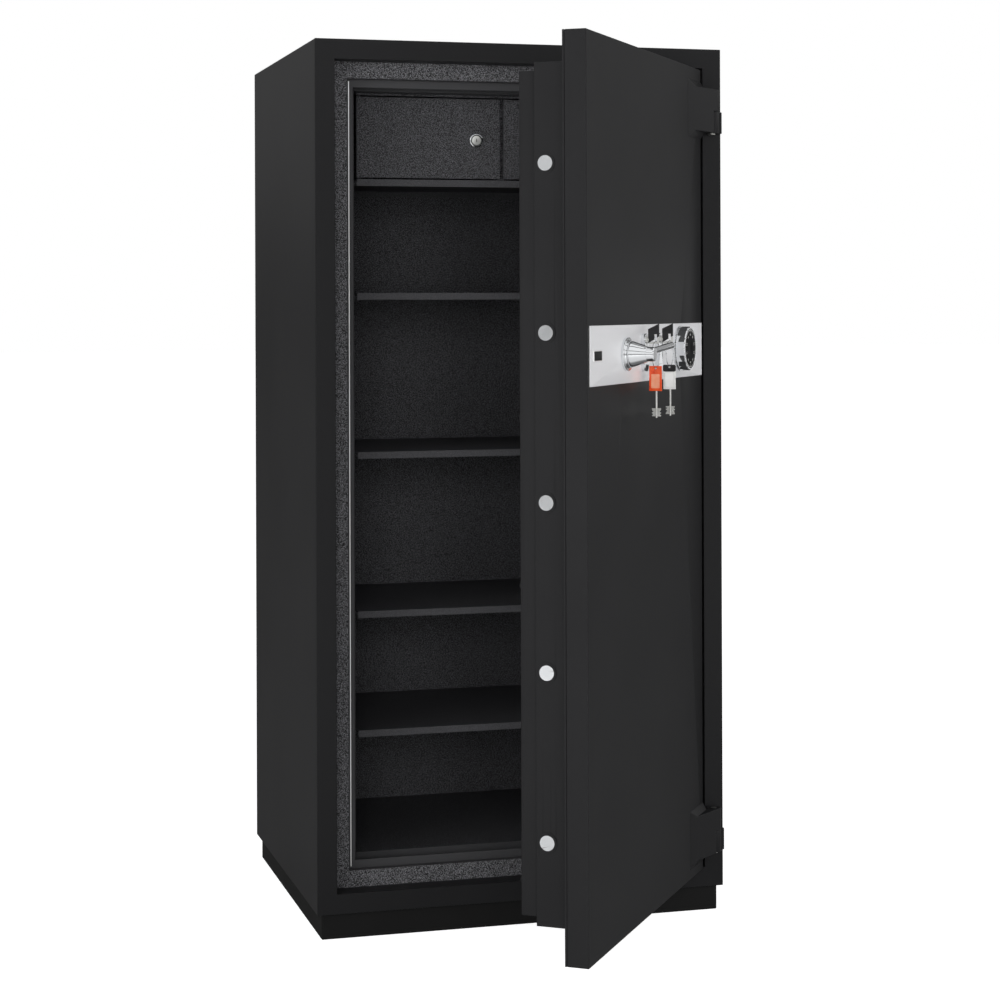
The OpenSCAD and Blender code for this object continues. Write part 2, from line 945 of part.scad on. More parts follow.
module badge() {
    color("black")
        on_door()
            block(
                badge_x - badge_w / 2, badge_x + badge_w / 2, -plate_t - badge_t, -plate_t,
                plate_z - badge_h / 2, plate_z + badge_h / 2
            );
}

module handle_rose() {
    color(bright)
        on_door()
            difference() {
                union() {
                    rod(handle_x, plate_z, rose_r, -plate_t - rose_t, -plate_t);
                    rod(handle_x, plate_z, rose_step_r, -plate_t - rose_t - rose_step_t, -plate_t - rose_t);
                }
                rod(handle_x, plate_z, spindle_r + run_c, -plate_t - rose_t - rose_step_t - cut, cut);
            }
}

hub_from = plate_t + rose_t + rose_step_t + hub_gap;
lever_out = 50;
hub_head_end = lever_out + lever_r + hub_wall;

module handle_hub() {
    color(bright)
        on_door()
            translate([handle_x, front_y, plate_z])
                rotate([90, 0, 0])
                    difference() {
                        rotate_extrude()
                            polygon([
                                [0, hub_from],
                                [hub_base_r, hub_from],
                                [hub_base_r, hub_from + hub_foot],
                                [hub_tip_r, hub_end],
                                [hub_head_r, hub_end],
                                [hub_head_r, hub_head_end - hub_chamfer],
                                [hub_head_r - hub_chamfer, hub_head_end],
                                [0, hub_head_end]
                            ]);
                        translate([0, 0, hub_from - cut])
                            cylinder(r = spindle_r + run_c, h = spindle_in + cut);
                        translate([0, lever_rise, lever_out])
                            rotate([0, 0, lever_tilt])
                                rotate([0, 90, 0])
                                    cylinder(r = lever_r + run_c, h = lever_len);
                    }
}

module handle_spindle() {
    color(zinc)
        on_door()
            rod(handle_x, plate_z, spindle_r, -hub_from - spindle_in, spindle_end);
}

module handle_lever() {
    color(bright)
        on_door()
            translate([handle_x, front_y - lever_out, plate_z + lever_rise])
                rotate([0, -lever_tilt, 0])
                    rotate([0, 90, 0])
                        union() {
                            cylinder(r = lever_r, h = lever_len - lever_r);
                            translate([0, 0, lever_len - lever_r])
                                sphere(r = lever_r);
                        }
}

// Dial
dial_z = plate_z + dial_rise;
dial_ring_r = 43.5;
dial_ring_t = 4;
dial_gap = 0.5;
dial_h = 19;
flute_count = 20;
flute_r = 5;
flute_d = 1.2;
dial_dish_r = 38.5;
dial_dish_d = 1;
dial_from = plate_t + dial_ring_t + dial_gap;

module dial_ring() {
    color(bright)
        on_door()
            difference() {
                rod(dial_x, dial_z, dial_ring_r, -plate_t - dial_ring_t, -plate_t);
                rod(dial_x, dial_z, dial_spindle_r + run_c, -plate_t - dial_ring_t - cut, cut);
            }
}

module dial_knob() {
    color(bright)
        on_door()
            translate([dial_x, front_y, dial_z])
                rotate([90, 0, 0])
                    difference() {
                        translate([0, 0, dial_from])
                            cylinder(r = dial_r, h = dial_h);
                        translate([0, 0, dial_from + dial_h - dial_dish_d])
                            cylinder(r = dial_dish_r, h = dial_dish_d + cut);
                        for (k = [0 : flute_count - 1])
                            rotate([0, 0, (k + 0.5) * 360 / flute_count])
                                translate([dial_r + flute_r - flute_d, 0, dial_from - cut])
                                    cylinder(r = flute_r, h = dial_h + 2 * cut, $fn = 24);
                        translate([0, 0, dial_from - cut])
                            cylinder(r = dial_spindle_r + run_c, h = dial_h / 2 + cut);
                    }
}

wheel_r = 24;
wheel_t = 3;
wheel_count = 3;
wheel_space = 2.4;
wheel_hub_r = 8;
wheel_from = 59;
gate_w = 6;
gate_d = 5;
gate_first = 35;
gate_turn = 110;
wheel_nut = 1;
wheel_end = wheel_from + wheel_count * wheel_t + (wheel_count - 1) * wheel_space;

module dial_spindle() {
    color(zinc)
        on_door()
            rod(dial_x, dial_z, dial_spindle_r, -dial_from - dial_h / 2, wheel_end + wheel_nut);
}

// Three code wheels, each with its gate, on one sleeve
module wheel_pack() {
    color("goldenrod")
        on_door()
            difference() {
                union() {
                    rod(dial_x, dial_z, wheel_hub_r, wheel_from, wheel_end);
                    for (k = [0 : wheel_count - 1])
                        difference() {
                            rod(
                                dial_x, dial_z, wheel_r,
                                wheel_from + k * (wheel_t + wheel_space),
                                wheel_from + k * (wheel_t + wheel_space) + wheel_t
                            );
                            translate([dial_x, 0, dial_z])
                                rotate([0, gate_first + gate_turn * k, 0])
                                    block(
                                        -gate_w / 2, gate_w / 2, wheel_from - cut, wheel_end + cut,
                                        wheel_r - gate_d, wheel_r + cut
                                    );
                        }
                }
                rod(dial_x, dial_z, dial_spindle_r + run_c, wheel_from - cut, wheel_end + cut);
            }
}

// Lock cases inside the door; each lock bolt drops into the bar
lock_case_gap = 4;
lock_bolt_w = 12;
lock_bolt_d = [50.5, 57.5];
lock_bolt_len = 32;
lock_bolt_c = 0.3;
lock_bolt_in = 1;
lock_case_low = bar_top + lock_case_gap;
lock_bolt_low = lock_case_low + lock_bolt_in;
key_case_w = 54;
key_case_d = 74;
key_case_h = 86;
key_room_r = 11;
key_room_to = 68;

module lock_bolt(x) {
    block(
        x - lock_bolt_w / 2, x + lock_bolt_w / 2, lock_bolt_d[0], lock_bolt_d[1],
        lock_bolt_low, lock_bolt_low + lock_bolt_len
    );
}

module lock_bolt_slot(x) {
    block(
        x - lock_bolt_w / 2 - lock_bolt_c, x + lock_bolt_w / 2 + lock_bolt_c,
        lock_bolt_d[0] - lock_bolt_c, lock_bolt_d[1] + lock_bolt_c,
        lock_case_low - cut, lock_bolt_low + lock_bolt_len + cut
    );
}

module key_lock_cases() {
    color(zinc)
        on_door()
            for (x = key_xs)
                difference() {
                    block(
                        x - key_case_w / 2, x + key_case_w / 2, slab_t, key_case_d,
                        lock_case_low, lock_case_low + key_case_h
                    );
                    lock_bolt_slot(x);
                    rod(x, key_z, key_room_r, slab_t - cut, key_room_to);
                }
}
module key_bolt_1() { color(brushed) on_door() lock_bolt(key_xs[0]); }
module key_bolt_2() { color(brushed) on_door() lock_bolt(key_xs[1]); }
module combination_bolt() { color(brushed) on_door() lock_bolt(dial_x + lock_bolt_off); }

combo_case_w = 66;
combo_case_h = 70;
combo_case_t = 3;
combo_case_d = 80;

module combination_lock_case() {
    color(zinc)
        on_door()
            difference() {
                block(
                    dial_x - combo_case_w / 2, dial_x + combo_case_w / 2, slab_t, combo_case_d,
                    lock_case_low, lock_case_low + combo_case_h
                );
                block(
                    dial_x - combo_case_w / 2 + combo_case_t, dial_x + combo_case_w / 2 - combo_case_t,
                    slab_t + combo_case_t, combo_case_d - combo_case_t,
                    lock_case_low + combo_case_t, lock_case_low + combo_case_h - combo_case_t
                );
                lock_bolt_slot(dial_x + lock_bolt_off);
                rod(dial_x, dial_z, dial_spindle_r + run_c, slab_t - cut, slab_t + combo_case_t + cut);
            }
}

// Escutcheons, keys and what hangs on them
escutcheon_w = 24;
escutcheon_h = 70;
escutcheon_t = 8;
keyhole_w = 4;
bit_t = 2.6;
bit_from = 48;
bit_to = 64;
collar_r = 6;
collar_t = 3;
collar_gap = 0.1;
keyhole_c = 0.5;
bow_root = 1;
bow_from = 13;
bow_len = 20;
bow_t = 3;
bow_drop = 3.5;
bow_bar_drop = 5.5;
bow_h = 23;
bow_rise = 10;
bow_end_bar = 3;
bow_slot_w = 5;
bow_slot_top = 9.4;
bow_ring_at = 14;
key_face = plate_t + escutcheon_t;

module key_escutcheons() {
    color(bright)
        on_door()
            for (x = key_xs)
                difference() {
                    union() {
                        for (z = [key_z, key_z - escutcheon_h + escutcheon_w])
                            rod(x, z, escutcheon_w / 2, -key_face, -plate_t);
                        block(
                            x - escutcheon_w / 2, x + escutcheon_w / 2, -key_face, -plate_t,
                            key_z - escutcheon_h + escutcheon_w, key_z
                        );
                    }
                    rod(x, key_z, key_r + run_c, -key_face - cut, cut);
                    block(
                        x - keyhole_w / 2, x + keyhole_w / 2, -key_face - cut, cut,
                        key_z - bit_r - keyhole_c, key_z + bit_r + keyhole_c
                    );
                }
}

// A key in the lock: its bits lie in the lock case, its bow stands up and down
module key_in_lock(x) {
    color([0.16, 0.16, 0.17])
        on_door() {
            rod(x, key_z, key_r, -bow_from - bow_root, bit_to);
            rod(x, key_z, collar_r, -key_face - collar_t - collar_gap, -key_face - collar_gap);
            block(x - bit_t / 2, x + bit_t / 2, bit_from, bit_to, key_z - bit_r, key_z + bit_r);
            // Bow: a leaning plate over a round bar that carries the ring
            rod(x, key_z - bow_bar_drop, bow_t / 2, -bow_from - bow_len, -bow_from);
            block(
                x - bow_t / 2, x + bow_t / 2, -bow_from - bow_len, -bow_from - bow_len + bow_end_bar,
                key_z - bow_bar_drop, key_z + bow_rise
            );
            difference() {
                translate([x - bow_t / 2, front_y, key_z])
                    rotate([90, 0, 90])
                        linear_extrude(height = bow_t)
                            polygon([
                                [-bow_from, -bow_bar_drop],
                                [-bow_from, bow_h - bow_drop],
                                [-bow_from - bow_len, bow_h - bow_drop + bow_rise],
                                [-bow_from - bow_len, bow_rise - bow_drop]
                            ]);
                block(
                    x - bow_t, x + bow_t, -ring_out - bow_slot_w / 2, -ring_out + bow_slot_w / 2,
                    key_z - bow_bar_drop, key_z + bow_slot_top
                );
            }
        }
}
module key_1() { key_in_lock(key_xs[0]); }
module key_2() { key_in_lock(key_xs[1]); }

ring_r = 24;
ring_wire = 0.9;
ring_play = 0.15;
ring_out = bow_from + bow_ring_at;
bow_bar_z = key_z - bow_bar_drop;
ring_top = bow_bar_z + bow_t / 2 + ring_wire + ring_play;
ring_low = ring_top - 2 * ring_r;

module key_ring(x) {
    color(bright)
        on_door()
            translate([x, front_y - ring_out, ring_top - ring_r])
                rotate([90, 0, 0])
                    rotate_extrude($fn = 64)
                        translate([ring_r, 0])
                            circle(r = ring_wire, $fn = 16);
}
module key_ring_1() { key_ring(key_xs[0]); }
module key_ring_2() { key_ring(key_xs[1]); }

tag_w = 24;
tag_h = 46;
tag_t = 2;
tag_side = -2.5;
tag_hole_r = 2.2;
tag_hole_in = 4;
hang_play = 0.2;
hang_z = ring_low + ring_wire + ring_play + hang_play - tag_hole_r;

// A cylinder across the door's width, for what hangs edge on to the door
module cross_rod(x, d, z, r, from_x, to_x) {
    translate([x + from_x, front_y + d, z])
        rotate([0, 90, 0])
            cylinder(r = r, h = to_x - from_x, $fn = 32);
}

module key_tag(x) {
    on_door()
        difference() {
            block(
                x + tag_side - tag_t / 2, x + tag_side + tag_t / 2,
                -ring_out - tag_w / 2, -ring_out + tag_w / 2,
                hang_z + tag_hole_in - tag_h, hang_z + tag_hole_in
            );
            cross_rod(x, -ring_out, hang_z, tag_hole_r, 2 * tag_side, 0);
        }
}
module key_tag_1() { color("orangered") key_tag(key_xs[0]); }
module key_tag_2() { color("white") key_tag(key_xs[1]); }

spare_len = 96;
spare_bow_w = 20;
spare_bow_h = 26;
spare_t = 2.5;
spare_side = 2.5;
spare_hole_in = 4;
spare_shaft_r = 1.8;
spare_bit_h = 15;
spare_tip = 3;

module spare_key(x) {
    top = hang_z + spare_hole_in;
    color(bright)
        on_door()
            difference() {
                union() {
                    block(
                        x + spare_side - spare_t / 2, x + spare_side + spare_t / 2,
                        -ring_out - spare_bow_w / 2, -ring_out + spare_bow_w / 2,
                        top - spare_bow_h, top
                    );
                    translate([x + spare_side, front_y - ring_out, top - spare_len])
                        cylinder(r = spare_shaft_r, h = spare_len - spare_bow_h / 2);
                    block(
                        x + spare_side - bit_t / 2, x + spare_side + bit_t / 2,
                        -ring_out - bit_r, -ring_out + bit_r,
                        top - spare_len + spare_tip, top - spare_len + spare_tip + spare_bit_h
                    );
                }
                cross_rod(x, -ring_out, hang_z, tag_hole_r, 0, 2 * spare_side);
            }
}
module spare_key_1() { spare_key(key_xs[0]); }
module spare_key_2() { spare_key(key_xs[1]); }

plinth();
outer_casing();
fire_infill();
inner_liner();
door_frame();
bolt_channel();
hinge_knuckles();
hinge_pins();
shelf_1();
shelf_2();
shelf_3();
shelf_4();
shelf_rails();
shelf_clips();
locker_floor();
locker_divider();
locker_head_rail();
door_skin();
door_infill();
door_back_plate();
bolt_case();
inner_cover();
hinge_leaves();
lock_plate();
badge();
bolt_guides();
carriage_guides();
cover_posts();
cover_screws();
key_escutcheons();
key_lock_cases();
combination_lock_case();
dial_ring();
handle_rose();
locking_bolts();
bolt_carriage();
handle_hub();
handle_lever();
handle_spindle();
drive_pinion();
dial_knob();
dial_spindle();
wheel_pack();
combination_bolt();
key_1();
key_2();
key_bolt_1();
key_bolt_2();
key_ring_1();
key_ring_2();
key_tag_1();
key_tag_2();
spare_key_1();
spare_key_2();
locker_door_left();
locker_door_right();
locker_lock_left();
locker_lock_right();
locker_cam_left();
locker_cam_right();
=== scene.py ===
"""Looks of a tall steel safe with its door open: paint, plated metal, dial, keys and a white studio."""

import json
import math

import bmesh
import bpy
import numpy as np
from mathutils import Matrix, Vector


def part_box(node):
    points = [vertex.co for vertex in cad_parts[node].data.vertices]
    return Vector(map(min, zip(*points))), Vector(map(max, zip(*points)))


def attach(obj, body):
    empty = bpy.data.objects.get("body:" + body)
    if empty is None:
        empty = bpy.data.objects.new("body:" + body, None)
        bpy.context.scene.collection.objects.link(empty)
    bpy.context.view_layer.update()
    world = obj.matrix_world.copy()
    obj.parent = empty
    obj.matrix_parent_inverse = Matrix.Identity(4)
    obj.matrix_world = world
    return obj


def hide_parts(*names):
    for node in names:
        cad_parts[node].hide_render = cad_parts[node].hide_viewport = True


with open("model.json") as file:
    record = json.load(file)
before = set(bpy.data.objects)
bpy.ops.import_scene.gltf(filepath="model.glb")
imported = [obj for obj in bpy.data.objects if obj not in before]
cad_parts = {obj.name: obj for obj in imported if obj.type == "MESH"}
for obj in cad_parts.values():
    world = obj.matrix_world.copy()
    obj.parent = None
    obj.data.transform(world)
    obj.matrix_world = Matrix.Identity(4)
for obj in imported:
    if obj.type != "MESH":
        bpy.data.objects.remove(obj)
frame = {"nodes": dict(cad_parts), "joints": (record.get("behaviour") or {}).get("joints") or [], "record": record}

bl_info = {
    "name": "Steel safe looks",
    "version": (1, 0, 0),
    "blender": (4, 5, 0),
    "location": "3D View > Sidebar > Safe",
    "description": "Materials, small visible pieces and the stage of a steel safe",
    "category": "Object",
}

NODES = frame["nodes"]
JOINTS = {j["name"]: j for j in frame["joints"]}
MATERIALS = {}
MM = 0.001
# Smallest radius of a turned shell, so that its ends on the axis still have a ring of points
AXIS_R = 0.01 * MM
# Edges are rounded above one angle, and faces shaded smooth up to the other
ROUND_ANGLE = math.radians(30)
SMOOTH_ANGLE = math.radians(35)
HINGE = np.array(JOINTS["door_hinge"]["pos_m"]) * [1, 1, 0]
BACK = np.array(JOINTS["handle_turn"]["axis"])
DOOR_ANGLE = math.atan2(-BACK[0], BACK[1])
FRONT_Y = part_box("door_frame")[0].y
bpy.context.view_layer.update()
TURN = np.array([
    [math.cos(DOOR_ANGLE), -math.sin(DOOR_ANGLE), 0],
    [math.sin(DOOR_ANGLE), math.cos(DOOR_ANGLE), 0],
    [0, 0, 1],
])


# Places on the body and on the door


def on_body(points):
    """Row position of points (x, out, z) given on the body, out forwards from its front plane."""
    p = np.asarray(points, float)
    return np.stack([p[..., 0], FRONT_Y - p[..., 1], p[..., 2]], -1)


def on_door(points):
    """Row position of points (x, out, z) given on the shut door, out forwards from its face."""
    return (on_body(points) - HINGE) @ TURN.T + HINGE


def door_points(node):
    """Vertices of a CAD node of the door as (x, out, z) on the shut door."""
    mesh = NODES[node].data
    co = np.zeros(len(mesh.vertices) * 3)
    mesh.vertices.foreach_get("co", co)
    shut = (co.reshape(-1, 3) - HINGE) @ TURN + HINGE
    return np.stack([shut[:, 0], FRONT_Y - shut[:, 1], shut[:, 2]], -1)


def door_extent(node):
    """Lowest and highest (x, out, z) of a CAD node of the door, and its middle as (x, z)."""
    points = door_points(node)
    low, high = points.min(0), points.max(0)
    return low, high, ((low[0] + high[0]) / 2, (low[2] + high[2]) / 2)


# Shells


def tube(rings, closed=False):
    """Skin over rings (k, n, 3): quads (i, j) (i+1, j) (i+1, j+1) (i, j+1), with flat ends unless closed."""
    k, n = rings.shape[:2]
    i = np.arange(k if closed else k - 1)[:, None]
    j = np.arange(n)[None, :]
    a = i * n + j
    b = ((i + 1) % k) * n + j
    c = ((i + 1) % k) * n + (j + 1) % n
    d = i * n + (j + 1) % n
    faces = np.stack([a, b, c, d], -1).reshape(-1, 4).tolist()
    if not closed:
        faces += [list(range(n)), list(range((k - 1) * n, k * n))]
    return rings.reshape(-1, 3), faces


def join(*shells):
    """Several closed shells as one list of vertices and faces."""
    verts, faces, start = [], [], 0
    for v, f in shells:
        verts.append(v)
        faces += [[i + start for i in face] for face in f]
        start += len(v)
    return np.concatenate(verts), faces


def revolve(profile, centre, place, count=96):
    """Turned shell about the out axis: (r, out) goes to (cx + r cos t, out, cz + r sin t), t in [0, 2 pi)."""
    prof = np.asarray(profile, float)
    t = np.linspace(0, 2 * math.pi, count, endpoint=False)
    r, out = np.maximum(prof[:, 0, None], AXIS_R), prof[:, 1, None]
    rings = np.stack([
        centre[0] + r * np.cos(t),
        out + 0 * t,
        centre[1] + r * np.sin(t),
    ], -1)
    closed = np.allclose(prof[0], prof[-1])
    return tube(place(rings[:-1] if closed else rings), closed)


def rounded_rect(width, height, radius, steps=6):
    """Outline points of a rectangle whose corners are arcs of the given radius, anticlockwise."""
    corners = np.array([[1, 1], [-1, 1], [-1, -1], [1, -1]])
    points = []
    for k, (sx, sy) in enumerate(corners):
        t = math.pi / 2 * (k + np.linspace(0, 1, steps + 1))
        cx, cy = sx * (width / 2 - radius), sy * (height / 2 - radius)
        points.append(np.stack([cx + radius * np.cos(t), cy + radius * np.sin(t)], -1))
    return np.concatenate(points)


def circle(radius, count, start=0.0):
    """Outline points of a circle, anticlockwise from the start angle."""
    t = np.linspace(0, 2 * math.pi, count, endpoint=False) + start
    return np.stack([radius * np.cos(t), radius * np.sin(t)], -1)


def at_level(outline, level, axis="out"):
    """Outline (u, v) as points (x, out, z): u is x at one level of out, or u is out at one level of x."""
    flat = np.full(len(outline), level)
    parts = [outline[:, 0], flat, outline[:, 1]] if axis == "out" else [flat, outline[:, 0], outline[:, 1]]
    return np.stack(parts, -1)


def plate(outline, centre, low, high, place, axis="out"):
    """Flat plate with an outline about centre, from low to high along its axis."""
    o = np.asarray(outline, float) + np.asarray(centre, float)
    return tube(place(np.stack([at_level(o, level, axis) for level in (low, high)])))


def holed_plate(outline, hole, centre, low, high, place):
    """Plate across x with one hole: a closed band between two outlines of equal length."""
    o, h = outline + np.asarray(centre), hole + np.asarray(centre)
    loops = [at_level(line, level, "x") for line, level in ((o, low), (o, high), (h, high), (h, low))]
    return tube(place(np.stack(loops)), closed=True)


def hoop(outer, inner, centre, back, outer_front, inner_front, place):
    """Frame between two outlines of equal length, whose front slopes from the outer to the inner one."""
    o, i = outer + np.asarray(centre), inner + np.asarray(centre)
    levels = ((o, back), (o, outer_front), (i, inner_front), (i, back))
    return tube(place(np.stack([at_level(line, level) for line, level in levels])), closed=True)


def round_edges(obj, width, weld=True, harden=False):
    """Rounds the edges of an object with modifiers, so that they catch the light."""
    if weld:
        merge = obj.modifiers.new("merge", "WELD")
        merge.merge_threshold = 0.001 * MM
    bevel = obj.modifiers.new("edges", "BEVEL")
    bevel.width = width
    bevel.segments = 2
    bevel.limit_method = "ANGLE"
    bevel.angle_limit = ROUND_ANGLE
    bevel.use_clamp_overlap = True
    bevel.harden_normals = harden


def piece(name, shell, body, look, bevel=0.0):
    """A closed mesh object at the origin that rides on a CAD body."""
    verts, faces = shell
    mesh = bpy.data.meshes.new(name)
    mesh.from_pydata(verts.tolist(), [], faces)
    bm = bmesh.new()
    bm.from_mesh(mesh)
    bmesh.ops.recalc_face_normals(bm, faces=bm.faces)
    bm.to_mesh(mesh)
    bm.free()
    mesh.polygons.foreach_set("use_smooth", np.ones(len(mesh.polygons), bool))
    mesh.set_sharp_from_angle(angle=SMOOTH_ANGLE)
    mesh.materials.append(MATERIALS[look])
    mesh.update()
    obj = bpy.data.objects.new(name, mesh)
    bpy.context.scene.collection.objects.link(obj)
    if bevel:
        round_edges(obj, bevel, weld=False)
    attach(obj, body)
    return obj


# Material nodes


def linear(colour):
    """Linear RGBA of a colour written as #rrggbb: c/12.92 below 0.04045, else ((c + 0.055) / 1.055)^2.4."""
    c = [int(colour[i:i + 2], 16) / 255 for i in (1, 3, 5)]
    return [x / 12.92 if x <= 0.04045 else ((x + 0.055) / 1.055) ** 2.4 for x in c] + [1.0]


def wire(tree, node, inputs):
    """Sets inputs of a node to constants, or links them where the value is a socket."""
    for key, value in inputs.items():
        if isinstance(value, bpy.types.NodeSocket):
            tree.links.new(value, node.inputs[key])
        else:
            node.inputs[key].default_value = value


def add(tree, kind, inputs=None, **settings):
    """Adds one node with its settings, constants and links, and returns its outputs."""
    node = tree.nodes.new("ShaderNode" + kind)
    for name, value in settings.items():
        setattr(node, name, value)
    wire(tree, node, inputs or {})
    return node.outputs


def start(name):
    """A new node material with its tree, its shader and the object's own coordinates, in metres."""
    mat = bpy.data.materials.new(name)
    mat.use_nodes = True
    tree = mat.node_tree
    return mat, tree, tree.nodes["Principled BSDF"], add(tree, "TexCoord")["Object"]


# Kinds of material


def satin_paint(name, low, high, rough, shine=0.12):
    """Oven-dried satin paint on sheet steel: faint orange peel of 3 mm and slow drift in tone over 260 mm."""
    mat, tree, shader, coords = start(name)
    drift = add(tree, "TexNoise", {"Vector": coords, "Scale": 1 / (260 * MM), "Detail": 3.0})["Fac"]
    tone = add(tree, "MapRange", {"Value": drift, "From Min": 0.3, "From Max": 0.7})["Result"]
    colour = add(tree, "Mix", {"Factor": tone, "A": linear(low), "B": linear(high)}, data_type="RGBA")
    peel = add(tree, "TexNoise", {"Vector": coords, "Scale": 1 / (3 * MM), "Detail": 1.0})["Fac"]
    relief = add(tree, "Bump", {"Height": peel, "Distance": 0.02 * MM, "Strength": 0.5})
    wire(tree, shader, {
        "Base Color": colour["Result"], "Roughness": rough, "Specular IOR Level": shine,
        "Normal": relief["Normal"],
    })
    return mat


def textured_coat(name, low, high, grain_mm, depth_mm, rough=0.5, flange=None):
    """Grained powder coat: rounded grains h = noise - F1, with a painted glint where a grain stands high: a
    lighter colour that stands for the highlight on its top.

    A flange (colour, roughness, y of its end) keeps everything in front of that plane plain and satin.
    """
    mat, tree, shader, coords = start(name)
    scale, depth = 1 / (grain_mm * MM), depth_mm * MM
    cells = add(tree, "TexVoronoi", {"Vector": coords, "Scale": scale, "Randomness": 1.0},
                feature="SMOOTH_F1")
    fine = add(tree, "TexNoise", {"Vector": coords, "Scale": 2 * scale, "Roughness": 0.6})["Fac"]
    rise = add(tree, "Math", {0: fine, 1: cells["Distance"]}, operation="SUBTRACT")["Value"]
    height = add(tree, "MapRange", {"Value": rise, "From Min": -0.35, "From Max": 0.35})["Result"]
    # Painted glint: the tops of the grains take the lighter colour, in place of the highlights that light would
    # put there
    painted_glint = add(tree, "MapRange", {"Value": height, "From Min": 0.5, "From Max": 1.0})["Result"]
    colour = add(tree, "Mix", {"Factor": painted_glint, "A": linear(low), "B": linear(high)}, data_type="RGBA")
    if flange:
        plain, gloss, end = flange
        y = add(tree, "SeparateXYZ", {"Vector": coords})["Y"]
        behind = add(tree, "Math", {0: y, 1: end}, operation="GREATER_THAN")["Value"]
        colour = add(tree, "Mix", {"Factor": behind, "A": linear(plain), "B": colour["Result"]},
                     data_type="RGBA")
        depth = add(tree, "MapRange", {"Value": behind, "To Max": depth})["Result"]
        rough = add(tree, "MapRange", {"Value": behind, "To Min": gloss, "To Max": rough})["Result"]
    relief = add(tree, "Bump", {"Height": height, "Distance": depth, "Strength": 0.9})
    wire(tree, shader, {
        "Base Color": colour["Result"], "Roughness": rough, "Specular IOR Level": 0.15,
        "Normal": relief["Normal"],
    })
    return mat


def plated(name, colour, rough, wear=0.06, metal=1.0, grain=0.0):
    """Polished or satin plated metal with slightly uneven gloss, and brushed along the door with a grain."""
    mat, tree, shader, coords = start(name)
    cloud = add(tree, "TexNoise", {"Vector": coords, "Scale": 1 / (14 * MM), "Detail": 3.0})["Fac"]
    gloss = add(tree, "MapRange", {
        "Value": cloud, "From Min": 0.3, "From Max": 0.7, "To Min": rough, "To Max": rough + wear,
    })["Result"]
    wire(tree, shader, {"Base Color": linear(colour), "Metallic": metal, "Roughness": gloss})
    if grain:
        # Noise drawn out along the door's face into fine lines
        turned = add(tree, "Mapping", {"Vector": coords, "Rotation": (0, 0, -DOOR_ANGLE)})["Vector"]
        drawn = add(tree, "Mapping", {"Vector": turned, "Scale": (4, 400, 5000)})["Vector"]
        lines = add(tree, "TexNoise", {"Vector": drawn, "Scale": 1.0, "Detail": 3.0})["Fac"]
        relief = add(tree, "Bump", {"Height": lines, "Distance": grain * MM, "Strength": 0.6})["Normal"]
        wire(tree, shader, {"Normal": relief, "Anisotropic": 0.5})
    return mat


def moulded(name, low, high, rough, coat=0.0, shine=0.5):
    """Moulded plastic: nearly even colour and gloss with a faint flow pattern of 9 mm."""
    mat, tree, shader, coords = start(name)
    flow = add(tree, "TexNoise", {"Vector": coords, "Scale": 1 / (9 * MM)})["Fac"]
    tone = add(tree, "MapRange", {"Value": flow, "From Min": 0.3, "From Max": 0.7})["Result"]
    colour = add(tree, "Mix", {"Factor": tone, "A": linear(low), "B": linear(high)}, data_type="RGBA")
    wire(tree, shader, {
        "Base Color": colour["Result"], "Roughness": rough, "Coat Weight": coat,
        "Specular IOR Level": shine,
    })
    return mat


def cast_fill(name, low, high):
    """Light fire-resistant fill: grey, matt, with pores of 4 mm."""
    mat, tree, shader, coords = start(name)
    pores = add(tree, "TexNoise", {
        "Vector": coords, "Scale": 1 / (4 * MM), "Detail": 4.0, "Roughness": 0.7,
    })["Fac"]
    tone = add(tree, "MapRange", {"Value": pores, "From Min": 0.35, "From Max": 0.65})["Result"]
    colour = add(tree, "Mix", {"Factor": tone, "A": linear(low), "B": linear(high)}, data_type="RGBA")
    relief = add(tree, "Bump", {"Height": pores, "Distance": 0.4 * MM, "Strength": 0.5})
    wire(tree, shader, {"Base Color": colour["Result"], "Roughness": 0.9, "Normal": relief["Normal"]})
    return mat


def paints(look):
    """Paints and powder coats of the sheet steel."""
    grain = look.grain_mm
    flange = (look.flange, look.paint_rough, FRONT_Y + look.seat_depth)
    return {
        # Casing and door, near black with a soft sheen
        "casing": satin_paint("Satin black steel paint", look.paint_low, look.paint_high, look.paint_rough),
        # The same paint on the hinges, a little glossier from handling
        "hinge": satin_paint("Satin black hinge paint", look.paint_low, look.paint_high,
                             look.paint_rough - 0.06),
        # Plinth, flat black without sheen
        "plinth": satin_paint("Matt black plinth paint", "#161616", "#1a1a1a", rough=0.6),
        # Liner and locker, dark, with painted glints: the tops of the grains are coloured pale in place of their
        # highlights
        "inside": textured_coat("Grained black powder coat", look.coat_low, look.coat_painted_glint, grain,
                                depth_mm=0.35),
        # Frame: satin flange and reveal, with the grained coat on the seat behind, made lighter there by painted
        # glints on its grains
        "frame": textured_coat("Grained black seat coat", look.seat_low, look.seat_painted_glint, grain,
                               depth_mm=0.5, rough=0.45, flange=flange),
        # The channel's lip behind the seat, smooth and dark grey
        "lip": satin_paint("Smooth black channel coat", "#3a3a3b", "#404042", rough=0.45, shine=0.2),
        # Folded shelves, with flatter grains and the same painted glints on them
        "shelf": textured_coat("Smooth black shelf coat", "#404042", "#565659", grain, depth_mm=0.15),
        # Filling between the sheets, pale and chalky
        "infill": cast_fill("Cast light fire filling", "#8a8680", "#a5a19a"),
    }


